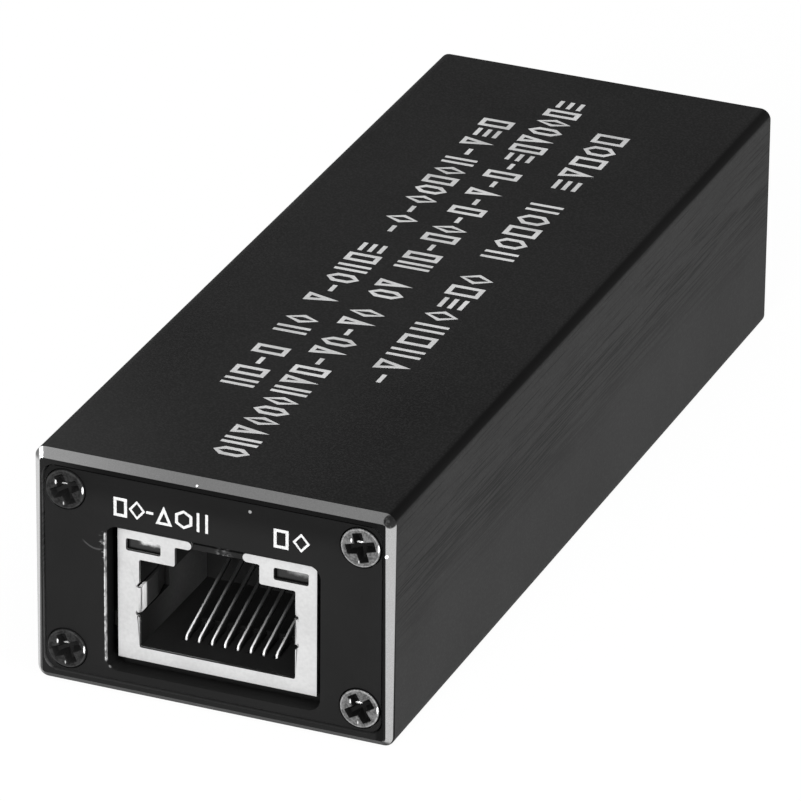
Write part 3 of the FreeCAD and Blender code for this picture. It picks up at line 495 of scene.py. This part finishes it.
shieldTone = {
    "plating": (218, 236), "roof": 34, "roofHalf": (2.25, 2.35), "roofZ": (12.71, 12.73),
    "roofY": (-37.52, -37.5), "spring": 250, "springY": (-37.6, -37.4),
    "wall": 56, "wallY": (-37.4, -37.15), "wallShift": 0.6,
}


# Plated metal, painted dark as shade on the walls behind the face and on the roof over the key gap.
# The left spring's fold is painted pale and made matt, a painted highlight where it catches the
# light.
def shieldFinish():
    paint = Paint("platedJackMetal")
    grain = paint.noise(0.3, 3)
    stain = paint.noise(3.5, 3)
    shade = paint.greys(paint.ramp(0.6 * stain + 0.4 * grain, 0.3, 0.7), shieldTone["plating"])
    # painted shade: the roof over the key gap is painted dark
    roof = paint.ramp(paint.z, *shieldTone["roofZ"]) * paint.ramp(paint.y, *shieldTone["roofY"])
    roof = roof * (1 - paint.ramp(abs(paint.x), *shieldTone["roofHalf"]))
    onLeft = 1 - paint.ramp(paint.x, -1, 1)
    # painted highlight: the left spring's fold is painted pale
    folded = onLeft * paint.ramp(paint.y, *shieldTone["springY"])
    shade = paint.mix(folded, shade, grey(shieldTone["spring"]))
    # painted shade: the walls behind the face are painted dark
    behind = paint.ramp(paint.y - shieldTone["wallShift"] * onLeft, *shieldTone["wallY"])
    shade = paint.mix(behind, shade, grey(shieldTone["wall"]))
    paint.finish(
        Base_Color=paint.mix(roof, shade, grey(shieldTone["roof"])),
        Metallic=1 - 0.8 * folded,
        Roughness=0.42 + 0.12 * (stain - 0.5) + 0.08 * (grain - 0.5),
        Normal=paint.bump(grain, 0.003, 0.6),
    )
    return paint.material


screwTone = {
    "specular": 0.1, "left": (42, 66), "right": (92, 140), "rim": (76, 186), "recess": (21, 13),
    "radius": 1.56, "rimRadius": (1.36, 1.42), "headY": 38.74, "recessDepth": (0.04, 0.1),
    "glint": 240, "slantX": 0.434, "slantZ": 0.49, "slotGlint": (0.02, 0.5, 0.34, 0.11),
    "glints": [
        (0.7, -0.68, 0.5, 0.1, 0.26), (0.5, -0.08, -1.1, 0.08, 0.22), (1.0, 1.43, 0.2, 0.1, 0.42),
    ],
}


# One finish for all heads, laid out about each head's own middle: a mottled face, painted paler on
# the right heads than on the left ones as painted light, a rim painted paler as a highlight, a recess
# painted dark as shade, and small painted glints where its edges turn to the light. A glint is an
# oval, given by its strength, place and half sizes. It keeps its slant going inwards, so it is found
# on the recess's walls too.
def screwFinish():
    paint = Paint("screwSteel", Specular_IOR_Level=screwTone["specular"])
    grain = paint.noise(0.16, 3)
    stain = paint.noise(0.45, 4)
    lowest = middleOf("front_screw_bottom_right")
    highest = middleOf("front_screw_top_right")
    halfway = (lowest.z + highest.z) / 2
    onRight = paint.ramp(paint.x, -2, 2)
    onTop = paint.ramp(paint.z, halfway - 1, halfway + 1)
    x = paint.x + lowest.x - 2 * lowest.x * onRight
    z = paint.z - lowest.z - (highest.z - lowest.z) * onTop
    radius = (x * x + z * z) ** 0.5
    mottle = paint.ramp(0.5 * stain + 0.5 * grain, 0.4, 0.6)
    # painted light: the heads on the right are painted paler than those on the left
    face = paint.mix(
        onRight, paint.greys(mottle, screwTone["left"]), paint.greys(mottle, screwTone["right"])
    )
    # painted highlight: the rim is painted paler, most of all on the right heads
    onRim = paint.ramp(radius, *screwTone["rimRadius"]) * (0.35 + 0.65 * mottle)
    shade = paint.mix(onRim, face, paint.greys(onRight, screwTone["rim"]))
    inward = screwTone["headY"] - abs(paint.y)
    # painted shade: the recess is painted dark
    pressed = paint.ramp(inward, *screwTone["recessDepth"])
    shade = paint.mix(pressed, shade, paint.greys(onRight, screwTone["recess"]))
    slantX = x + screwTone["slantX"] * inward
    slantZ = z + screwTone["slantZ"] * inward

    def glint(atX, atZ, halfX, halfZ):
        way = (((slantX - atX) / halfX) ** 2 + ((slantZ - atZ) / halfZ) ** 2) ** 0.5
        return 1 - paint.ramp(way, 0.4, 1.0)

    # painted glints: pale ovals where the edges turn to the light
    shine = (0.5 + 0.5 * onRight) * glint(*screwTone["slotGlint"])
    for strength, *oval in screwTone["glints"]:
        shine = shine + strength * glint(*oval)
    onHead = 1 - paint.ramp(radius, screwTone["radius"] - 0.06, screwTone["radius"])
    shine = paint.ramp(shine, 0.1, 0.9) * onHead
    paint.finish(
        Base_Color=paint.mix(shine, shade, grey(screwTone["glint"])),
        Metallic=(1 - shine) * (1 - pressed),
        Roughness=0.36 + 0.16 * stain,
        Normal=paint.bump(grain, 0.006, 0.6),
    )
    return paint.material


lampTone = {
    "specular": 0.15, "edge": 4.46, "width": 2.62, "reflectionZ": (11.82, 12.2), "reflectionX": (0.75, 1.15),
    "glow": (176, 112), "bodyZ": (11.4, 11.6), "bodyX": (0.05, 0.3), "body": (16, 38),
}


# A lamp's clear plastic is dull, with a hazy painted reflection below its upper edge, dimmer on the
# right lamp, and painted shade at its left end and low down.
def lampFinish():
    paint = Paint("milkyLamp", Specular_IOR_Level=lampTone["specular"])
    across = abs(paint.x) - lampTone["edge"]
    onRight = paint.ramp(paint.x, -1, 1)
    fromLeft = onRight * across + (1 - onRight) * (lampTone["width"] - across)
    haze = paint.noise(0.4, 3)
    # painted reflection: a hazy pale patch below the upper edge, dimmer on the right lamp
    glow = paint.ramp(paint.z + 0.5 * (haze - 0.5) + 0.04 * fromLeft, *lampTone["reflectionZ"])
    glow = glow * paint.ramp(fromLeft + 0.4 * (haze - 0.5), *lampTone["reflectionX"])
    # painted shade: the body is darker at its left end and low down
    lit = paint.ramp(fromLeft, *lampTone["bodyX"]) * paint.ramp(paint.z, *lampTone["bodyZ"])
    body = paint.greys(lit, lampTone["body"])
    paint.finish(
        Base_Color=paint.mix(glow, body, paint.greys(onRight, lampTone["glow"])),
        Roughness=0.3 + 0.2 * haze,
        Normal=paint.bump(haze, 0.01, 0.3),
    )
    return paint.material


boardTone = {
    "mask": ((12, 34, 20), (16, 42, 25)), "front": (8, 15, 10), "frontY": (-34, -30),
    "edge": (11, 11, 9),
}


def boardFinish():                               # woven, bare at its edges; painted shade darkens its edges and the part by the jack
    paint = Paint("boardLaminate", Specular_IOR_Level=0.4)
    weave = paint.noise(0.5, 1, (1, 0.25, 1)) * paint.noise(0.5, 1, (0.25, 1, 1))
    cloud = paint.noise(6, 2)
    # painted shade: the edges are painted nearly black, and the board by the jack darker
    edge = 1 - paint.ramp(abs(paint.normal()[2]), 0.4, 0.6)
    atFront = 1 - paint.ramp(paint.y, *boardTone["frontY"])
    mask = paint.mix(cloud, *[tint(*level) for level in boardTone["mask"]])
    mask = paint.mix(atFront, mask, tint(*boardTone["front"]))
    paint.finish(
        Base_Color=paint.mix(edge, mask, tint(*boardTone["edge"])),
        Roughness=0.35 + 0.3 * weave,
        Normal=paint.bump(weave, 0.01, 0.5),
    )
    return paint.material


tubePaint = tubeFinish()
platePaint = plateFinish("blackAnodisedPlate", False)
wornAndGlintingPlatePaint = plateFinish("wornAndGlintingFrontPlate", True)
steelPaint = screwFinish()
jackMetal = shieldFinish()
contactMetal = contactFinish()
cageMetal = metalFinish("cageMetal", *metals["cage"])
springMetal = metalFinish("springMetal", *metals["spring"])
tinnedMetal = metalFinish("tinnedMetal", *metals["tinned"])
jackPlastic = socketFinish()
blackPlastic = plasticFinish("blackPlastic", *plastics["black"])
packagePaint = plasticFinish("mouldedPackage", *plastics["package"])
ferritePaint = plasticFinish("ferrite", *plastics["ferrite"])
ceramicPaint = plasticFinish("ceramic", *plastics["ceramic"])
lampPaint = lampFinish()
boardPaint = boardFinish()

nodeFinish = {                                   # all others are screws
    "housing": tubePaint, "front_plate": wornAndGlintingPlatePaint, "rear_plate": platePaint,
    "main_board": boardPaint,
    "jack_shield": jackMetal, "jack_insulator": jackPlastic, "contact_insert": jackPlastic,
    "jack_contacts": contactMetal,
    "indicator_lamp_left": lampPaint, "indicator_lamp_right": lampPaint, "lamp_leads": tinnedMetal,
    "sfp_cage": cageMetal, "sfp_ground_fingers": springMetal, "sfp_connector": blackPlastic,
    "sfp_contacts": springMetal,
    "usb_shell": cageMetal, "usb_insulator": blackPlastic, "usb_contacts": springMetal,
    "magnetics": packagePaint, "converter_chip": packagePaint, "memory_chip": packagePaint,
    "regulator": packagePaint, "protection_diode": packagePaint, "input_fuse": packagePaint,
    "crystal": tinnedMetal, "power_inductor": ferritePaint,
    "board_capacitors": ceramicPaint, "board_resistors": packagePaint,
}
for nodeName, node in cad.items():
    node.data.materials.clear()
    node.data.materials.append(nodeFinish.get(nodeName, steelPaint))
print("finishes: done")


def outward(mesh):                               # merges doubles and turns all faces outwards
    work = bmesh.new()
    work.from_mesh(mesh)
    bmesh.ops.remove_doubles(work, verts=work.verts, dist=1e-7)
    bmesh.ops.recalc_face_normals(work, faces=work.faces)
    work.to_mesh(mesh)
    work.free()


def piece(name, points, faces, material, sharp=35):
    mesh = bpy.data.meshes.new(name)
    mesh.from_pydata(np.reshape(points, (-1, 3)).tolist(), [], faces)
    outward(mesh)
    mesh.shade_smooth()
    mesh.set_sharp_from_angle(angle=math.radians(sharp))
    mesh.materials.append(material)
    made = bpy.data.objects.new(name, mesh)
    bpy.context.scene.collection.objects.link(made)
    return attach(made, "root")


# Faces of a grid whose columns close round: quads between the rows, and a lid on the first
# and the last row. With rows that close too, the last row joins the first instead.
def tubeFaces(rows, columns, closed=False, start=0):
    steps = np.arange(rows if closed else rows - 1)
    row, column = np.meshgrid(steps, np.arange(columns), indexing="ij")
    after, beside = (row + 1) % rows, (column + 1) % columns
    near = [row * columns + column, row * columns + beside]
    far = [after * columns + beside, after * columns + column]
    faces = (np.stack(near + far, -1).reshape(-1, 4) + start).tolist()
    if not closed:
        lids = np.arange(columns) + start
        faces += [lids.tolist(), (lids + (rows - 1) * columns).tolist()]
    return faces


# Rows of simple outlined shapes. A row has its place across the top, the height of its shapes,
# where it starts and ends, and how many shapes stand in each of its groups.
marks = {
    "stroke": 0.36, "sink": 0.05, "proud": 0.002, "fill": 0.74, "tones": (168, 196),
    "rows": [
        ("topMarksRight", 4.55, 2.7, 28.8, -19.5, [5, 5, 9]),
        ("topMarksMiddle", -0.68, 2.85, 33.4, -34.5, [19, 2, 15]),
        ("topMarksLeft", -4.72, 2.65, 28.0, -23.9, [12, 6, 2, 4]),
    ],
    "ringStroke": 1.1, "barGap": 0.28, "stackGap": 0.3, "dashShare": 0.8,
}


def markFinish(name, tones, patchy):             # dry white print, patchy where it is large
    paint = Paint(name, Specular_IOR_Level=0.2)
    grain = paint.noise(0.12, 3)
    if patchy:
        tone = paint.ramp(0.5 * grain + 0.5 * paint.noise(3, 2), 0.35, 0.65)
    else:
        tone = paint.ramp(grain, 0.3, 0.7)
    paint.finish(
        Base_Color=paint.greys(tone, tones),
        Roughness=0.6 + 0.2 * grain,
        Normal=paint.bump(grain, 0.002, 0.4),
    )
    return paint.material


# A closed ring: a regular polygon's corner directions, times the half sizes for the outer
# edge and the half sizes less the stroke for the inner one, at two levels.
def outline(sides, turn, width, height, stroke):
    angle = np.arange(sides) * 2 * math.pi / sides + turn
    ways = np.stack([np.cos(angle), np.sin(angle)], -1)
    ways = ways / np.abs(ways).max(0)
    outer = ways * [width / 2, height / 2]
    wall = stroke * marks["ringStroke"]
    inner = ways * [width / 2 - wall, height / 2 - wall]
    section = np.stack([outer, inner, inner, outer], 1)
    levels = np.broadcast_to([1.0, 1.0, 0.0, 0.0], (sides, 4))
    return np.concatenate([section, levels[..., None]], -1), True


# A triangle that fills its cell: the inner edge is the outer one drawn in towards the middle
# of its inscribed circle, by the share that leaves the stroke all round.
def triangle(width, height, stroke):
    outer = np.array([[0, height / 2], [-width / 2, -height / 2], [width / 2, -height / 2]])
    side = math.hypot(width / 2, height)
    inscribed = width * height / (width + 2 * side)
    centre = np.array([0, inscribed - height / 2])
    inner = centre + (outer - centre) * (1 - stroke / inscribed)
    section = np.stack([outer, inner, inner, outer], 1)
    levels = np.broadcast_to([1.0, 1.0, 0.0, 0.0], (3, 4))
    return np.concatenate([section, levels[..., None]], -1), True


# A bar: a rectangle at two levels, carried from one end to the other.
def bar(width, height, centre=(0.0, 0.0)):
    corners = np.array([[-1, -1], [1, -1], [1, 1], [-1, 1]]) * [width / 2, height / 2] + centre
    low = np.concatenate([corners, np.zeros((4, 1))], -1)
    high = np.concatenate([corners, np.ones((4, 1))], -1)
    return np.stack([low, high]), False


def markShape(kind, width, height, stroke):      # one mark's grids, in its own cell
    if kind == "square":
        return [outline(4, math.pi / 4, width, height, stroke)]
    if kind == "diamond":
        return [outline(4, 0, width, height, stroke)]
    if kind == "hexagon":
        return [outline(6, math.pi / 2, width, height, stroke)]
    if kind == "triangle":
        return [triangle(width, height, stroke)]
    if kind == "bars":
        return [bar(stroke, height, (side * width * marks["barGap"], 0)) for side in (-1, 1)]
    if kind == "stack":
        return [bar(width, stroke, (0, side * height * marks["stackGap"])) for side in (-1, 0, 1)]
    return [bar(width * marks["dashShare"], stroke)]


class Marks:                                     # gathers grids into one mesh
    def __init__(self):
        self.points = []
        self.faces = []
        self.count = 0

    def take(self, grid, closed, toFrame):
        rows, columns = grid.shape[:2]
        self.faces += tubeFaces(rows, columns, closed, self.count)
        self.points.append(toFrame(grid).reshape(-1, 3))
        self.count += rows * columns

    def make(self, name, material):
        piece(name, np.concatenate(self.points), self.faces, material)


# The shapes of a row are drawn at random, with no two alike side by side.
def markRow(name, x, height, yStart, yEnd, groups, material):
    draw = np.random.default_rng(len(groups) * 7 + int(height * 100))
    kinds = ["square", "diamond", "hexagon", "triangle", "bars", "stack", "dash"]
    pitch = (yStart - yEnd) / (sum(groups) + len(groups) - 1)
    low = cadBox[1][2] / mm - marks["sink"]
    rise = marks["sink"] + marks["proud"]
    gathered = Marks()
    along = yStart - 0.5 * pitch
    kind = None

    def toFrame(grid):
        z = low + rise * grid[..., 2]
        return np.stack([x + grid[..., 1], along - grid[..., 0], z], -1) * mm

    for group in groups:
        for _ in range(group):
            kind = draw.choice([other for other in kinds if other != kind])
            for grid, closed in markShape(kind, pitch * marks["fill"], height, marks["stroke"]):
                gathered.take(grid, closed, toFrame)
            along -= pitch
        along -= pitch
    gathered.make(name, material)


topMarkPaint = markFinish("whiteMarks", marks["tones"], True)
for row in marks["rows"]:
    markRow(*row, topMarkPaint)
print("marks on the top: done")


labels = {
    "stroke": 0.21, "height": 1.5, "middleZ": 15.15, "tones": (170, 192),
    "shapes": [                                  # kind, place across the plate and width
        ("square", -7.15, 1.05), ("diamond", -5.85, 1.3), ("dash", -4.85, 0.7),
        ("triangle", -3.75, 1.3), ("hexagon", -2.2, 1.35), ("bars", -0.75, 1.2),
        ("square", 5.35, 1.15), ("diamond", 6.9, 1.35),
    ],
}


def labelMarks():
    gathered = Marks()
    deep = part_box("front_plate")[0].y / mm + marks["sink"]
    rise = marks["sink"] + marks["proud"]
    for kind, x, width in labels["shapes"]:
        def toFrame(grid):
            y = deep - rise * grid[..., 2]
            return np.stack([x + grid[..., 0], y, labels["middleZ"] + grid[..., 1]], -1) * mm

        for grid, closed in markShape(kind, width, labels["height"], labels["stroke"]):
            gathered.take(grid, closed, toFrame)
    gathered.make("lampLabels", markFinish("labelMarks", labels["tones"], False))


labelMarks()
print("labels: done")

contacts = {
    "count": 8, "width": 0.27, "thickness": 0.32, "bend": 0.3, "slope": 20.0, "tailEnd": 3.715,
    "overBoard": 6.335, "drop": -24.92, "armEnd": -25.45, "softness": 5.0, "turns": 13, "sides": 20,
}


# A centre line in the (y, z) plane: straight runs, and a part of a circle round the nose.
def contactLine(low, high):
    half = contacts["thickness"] / 2
    lane = low.z / mm + half
    tail = high.y / mm - half
    bend = contacts["bend"]
    centreY = low.y / mm + half + bend
    turn = np.radians(np.linspace(0, 180 - contacts["slope"], contacts["turns"]))
    arcY = centreY - bend * np.sin(turn)
    arcZ = lane + bend * (1 - np.cos(turn))
    armEnd, drop, over = contacts["armEnd"], contacts["drop"], contacts["overBoard"]
    armTop = arcZ[-1] + (armEnd - arcY[-1]) * math.tan(math.radians(contacts["slope"]))
    y = np.concatenate([[tail, tail, drop, drop], arcY, [armEnd]])
    z = np.concatenate([[contacts["tailEnd"], over, over, lane], arcZ, [armTop]])
    return np.stack([y, z], -1)


# The section at a point of the line: a squared-off oval, its height set across the line,
# and stretched at a fold so that the strip keeps its thickness.
def sweptContacts():
    low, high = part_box("jack_contacts")
    line = contactLine(low, high)
    ways = np.diff(line, axis=0)
    ways = ways / np.linalg.norm(ways, axis=1)[:, None]
    before = np.concatenate([ways[:1], ways])
    after = np.concatenate([ways, ways[-1:]])
    across = before + after
    across = across / np.linalg.norm(across, axis=1)[:, None]
    stretch = 1 / (across * before).sum(1)
    normal = np.stack([-across[:, 1], across[:, 0]], -1) * stretch[:, None]
    angle = np.linspace(0, 2 * math.pi, contacts["sides"], endpoint=False)
    cosine, sine = np.cos(angle), np.sin(angle)
    power = 2 / contacts["softness"]
    aside = np.sign(cosine) * np.abs(cosine) ** power * contacts["width"] / 2
    upward = np.sign(sine) * np.abs(sine) ** power * contacts["thickness"] / 2
    y = line[:, 0, None] + normal[:, 0, None] * upward
    z = line[:, 1, None] + normal[:, 1, None] * upward
    x = np.broadcast_to(aside, y.shape)
    places = (np.arange(contacts["count"]) - (contacts["count"] - 1) / 2) * contactTone["pitch"]
    points = np.stack([np.stack([x + place, y, z], -1) for place in places])
    faces = []
    for index in range(contacts["count"]):
        faces += tubeFaces(*y.shape, start=index * y.size)
    made = piece("springContacts", points * mm, faces, contactMetal)
    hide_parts("jack_contacts")


sweptContacts()
print("contacts: done")


screw = {                                        # each screw's drive is turned by its own degrees
    "headHeight": 0.8, "rim": 0.16, "rimStart": 10, "rimSteps": 6, "dome": 0.05,
    "shankRadius": 0.8, "tipLength": 0.3, "tipShare": 0.7, "columns": 168, "rings": 46,
    "armWidth": 0.8, "span": 2.35, "depth": 0.8, "wall": 0.24, "bulge": 0.8,
    "taper": 0.6, "reach": 1.18,
    "front": {"top_left": 63.0, "top_right": 75.0, "bottom_left": 66.0, "bottom_right": 58.0},
    "rear": {"top_left": 12.0, "top_right": 51.0, "bottom_left": 70.0, "bottom_right": 33.0},
}


# Radii, and depths along the screw: a domed head, a rounded rim, the shank and a narrower tip.
def screwProfile(radius, length):
    rim, shank, head = screw["rim"], screw["shankRadius"], screw["headHeight"]
    flat = np.linspace(0.0, radius - rim, screw["rings"])
    sweep = np.radians(np.linspace(screw["rimStart"], 90, screw["rimSteps"]))
    edgeR = radius - rim + rim * np.sin(sweep)
    edgeD = rim * (1 - np.cos(sweep))
    tip = shank * screw["tipShare"]
    r = np.concatenate([flat[1:], edgeR, [radius, shank, shank, tip]])
    d = np.concatenate([flat[1:] * 0, edgeD, [head, head, length - screw["tipLength"], length]])
    return r, d + screw["dome"] * np.clip(r / radius, 0, 1) ** 2 * (d < head)


# How deep the cross is pressed: it rises with the distance inside the nearer edge of its two
# arms, and grows shallower towards their ends.
def crossDepth(u, v):
    half, arm = screw["span"] / 2, screw["armWidth"] / 2
    alongU = np.maximum(np.abs(u) - half, np.abs(v) - arm)
    alongV = np.maximum(np.abs(v) - half, np.abs(u) - arm)
    inside = np.clip(-np.minimum(alongU, alongV) / screw["wall"], 0, 1)
    fromMiddle = np.clip(np.hypot(u, v) / screw["reach"], 0, 1)
    return screw["depth"] * inside ** screw["bulge"] * (1 - screw["taper"] * fromMiddle ** 2)


# The profile turned about the screw's middle line, with the cross pressed into its head.
def makeScrew(end, corner):
    node = end + "_screw_" + corner
    low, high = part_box(node)
    r, d = screwProfile(screwTone["radius"], (high.y - low.y) / mm)
    angle = np.linspace(0, 2 * math.pi, screw["columns"], endpoint=False)
    u, v = r[:, None] * np.cos(angle), r[:, None] * np.sin(angle)
    onHead = np.arange(len(r)) < screw["rings"]
    depth = d[:, None] + crossDepth(u, v) * onHead[:, None]
    drive = math.radians(screw[end][corner])
    x = u * math.cos(drive) + v * math.sin(drive)
    z = -u * math.sin(drive) + v * math.cos(drive)
    if end == "front":
        y = low.y / mm + depth
    else:
        y = high.y / mm - depth
        x = -x
    middle = middleOf(node)
    points = np.stack([middle.x + x, y, middle.z + z], -1) * mm
    faces = tubeFaces(len(r), screw["columns"])
    made = piece(end + "Screw." + corner, points, faces, steelPaint, 50)
    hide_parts(node)


for end in ("front", "rear"):
    for corner in screw[end]:
        makeScrew(end, corner)
print("screws: done")


softEdge = {"plate": 0.06, "shield": 0.03, "steps": 2, "angle": 40}
jackCase = {
    "sheet": 0.25, "corner": 0.16, "cornerSteps": 4, "fold": 0.24, "foldSteps": 5,
    "foldHeight": 2.0, "foldFrontY": -37.7, "square": 70,
}


def squareEdges(work, chosen):                   # sharp edges whose way and middle fit a rule
    found = []
    for edge in work.edges:
        start, end = [vertex.co / mm for vertex in edge.verts]
        isSquare = edge.calc_face_angle(0) > math.radians(jackCase["square"])
        if isSquare and chosen(end - start, (start + end) / 2):
            found.append(edge)
    return found


# Rounds the square corners of the jack's face, where its edges run through the sheet, and the
# upright edges where the springs fold back from it.
def roundCase(mesh):
    def throughSheet(way, middle):
        return abs(way.y) > 0.99 * way.length and way.length < 1.1 * jackCase["sheet"]

    def springFold(way, middle):
        isUpright = abs(way.z) > 0.99 * way.length
        isTall = abs(way.length - jackCase["foldHeight"]) < 0.05
        return isUpright and isTall and middle.y < jackCase["foldFrontY"]

    work = bmesh.new()
    work.from_mesh(mesh)
    settings = {"profile": 0.5, "affect": "EDGES"}
    corners = squareEdges(work, throughSheet)
    steps = jackCase["cornerSteps"]
    bmesh.ops.bevel(work, geom=corners, offset=jackCase["corner"] * mm, segments=steps, **settings)
    folds = squareEdges(work, springFold)
    steps = jackCase["foldSteps"]
    bmesh.ops.bevel(work, geom=folds, offset=jackCase["fold"] * mm, segments=steps, **settings)
    work.to_mesh(mesh)
    work.free()


# The solid's own faces, merged, with its sharp edges given a narrow rounded edge.
def softened(node, name, width, shape=None):
    mesh = cad[node].data.copy()
    mesh.name = name
    outward(mesh)
    if shape:
        shape(mesh)
    made = bpy.data.objects.new(name, mesh)
    bpy.context.scene.collection.objects.link(made)
    bevel = made.modifiers.new("edge", "BEVEL")
    bevel.width = width * mm
    bevel.segments = softEdge["steps"]
    bevel.limit_method = "ANGLE"
    bevel.angle_limit = math.radians(softEdge["angle"])
    bevel.use_clamp_overlap = True
    bevel.harden_normals = True
    mesh.shade_smooth()
    mesh.set_sharp_from_angle(angle=math.radians(softEdge["angle"]))
    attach(made, "root")
    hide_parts(node)


softened("front_plate", "frontPlate", softEdge["plate"])
softened("rear_plate", "rearPlate", softEdge["plate"])
softened("jack_shield", "jackShield", softEdge["shield"], roundCase)
print("plates and shield: done")


studio = {
    "floorSize": 3.0, "floorDrop": 0.00002, "paper": (0.94, 0.94, 0.94, 1), "zenith": 0.3,
    "seenShare": 0.96, "glossyShare": 0.85, "target": (0, 0, 0.009),
    "lamps": [                                   # name, place, size and power
        ("keyLamp", (0.35, -0.3, 0.9), 0.7, 4.0), ("fillLamp", (0.9, -0.4, 0.35), 0.6, 2.0),
        ("frontLamp", (0.05, -0.6, 0.24), 0.2, 4.0),
    ],
}


def makeFloor():                                 # pale paper that the camera sees as white
    half = studio["floorSize"] / 2
    corners = np.array([[-half, -half], [half, -half], [half, half], [-half, half]])
    points = np.insert(corners, 2, -studio["floorDrop"], axis=1)
    mesh = bpy.data.meshes.new("floor")
    mesh.from_pydata(points.tolist(), [], [[0, 1, 2, 3]])
    floor = bpy.data.objects.new("floor", mesh)
    bpy.context.scene.collection.objects.link(floor)
    paint = Paint("floorPaper", Base_Color=studio["paper"], Roughness=0.9, Specular_IOR_Level=0.0)
    rays = paint.add("ShaderNodeLightPath").socket.node.outputs
    seen = Number(paint, rays["Is Camera Ray"]) + Number(paint, rays["Is Transmission Ray"])
    glossy = Number(paint, rays["Is Glossy Ray"])
    share = seen * studio["seenShare"] + glossy * studio["glossyShare"]
    glow = {"Color": (1, 1, 1, 1), "Strength": 1.0}
    white = paint.add("ShaderNodeEmission", None, glow, "Emission")
    surfaces = {0: share, 1: Number(paint, paint.shader.outputs[0]), 2: white}
    joined = paint.add("ShaderNodeMixShader", None, surfaces, "Shader")
    paint.links.new(joined.socket, paint.output.inputs["Surface"])
    mesh.materials.append(paint.material)


def makeWorld():                                 # white to the camera, dimmer overhead as a light
    world = bpy.data.worlds.new("studio")
    bpy.context.scene.world = world
    world.use_nodes = True
    sky = Tree(world.node_tree)
    upward = sky.split(sky.add("ShaderNodeTexCoord", output="Generated"))[2]
    fade = {"Value": upward, "To Min": 1.0, "To Max": studio["zenith"]}
    height = sky.add("ShaderNodeMapRange", None, fade)
    seen = sky.add("ShaderNodeLightPath", output="Is Camera Ray")
    strength = sky.add("ShaderNodeMix", None, {0: seen, 2: height, 3: 1.0})
    light = sky.add("ShaderNodeBackground", None, {"Color": (1, 1, 1, 1), "Strength": strength})
    output = sky.nodes.new("ShaderNodeOutputWorld")
    sky.links.new(light.socket, output.inputs["Surface"])


def makeLamp(name, place, size, power):
    data = bpy.data.lights.new(name, "AREA")
    data.size = size
    data.energy = power
    lamp = bpy.data.objects.new(name, data)
    bpy.context.scene.collection.objects.link(lamp)
    lamp.location = place
    way = Vector(studio["target"]) - Vector(place)
    lamp.rotation_euler = way.to_track_quat("-Z", "Y").to_euler()
    lamp.visible_glossy = False
    lamp.visible_camera = False


view = {                                         # angles in radians, lens and sensor in millimetres
    "place": (0.20030, -0.49075, 0.26827), "yaw": 0.3901, "pitch": 0.4570, "roll": 0.0097,
    "lens": 351.28, "sensor": 36, "nearest": 0.01,
}


def makeCamera():
    yaw, pitch, roll = view["yaw"], view["pitch"], view["roll"]
    level = math.cos(pitch)
    forward = Vector((-math.sin(yaw) * level, math.cos(yaw) * level, -math.sin(pitch)))
    right = Vector((math.cos(yaw), math.sin(yaw), 0))
    up = right.cross(forward)
    across = right * math.cos(roll) + up * math.sin(roll)
    above = up * math.cos(roll) - right * math.sin(roll)
    data = bpy.data.cameras.new("camera")
    data.lens = view["lens"]
    data.sensor_width = view["sensor"]
    data.clip_start = view["nearest"]
    camera = bpy.data.objects.new("camera", data)
    bpy.context.scene.collection.objects.link(camera)
    turn = Matrix((across, above, -forward)).transposed().to_4x4()
    camera.matrix_world = Matrix.Translation(view["place"]) @ turn
    bpy.context.scene.camera = camera


makeFloor()
makeWorld()
for lamp in studio["lamps"]:
    makeLamp(*lamp)
makeCamera()
bpy.context.scene.view_settings.view_transform = "Standard"
print("studio: done")
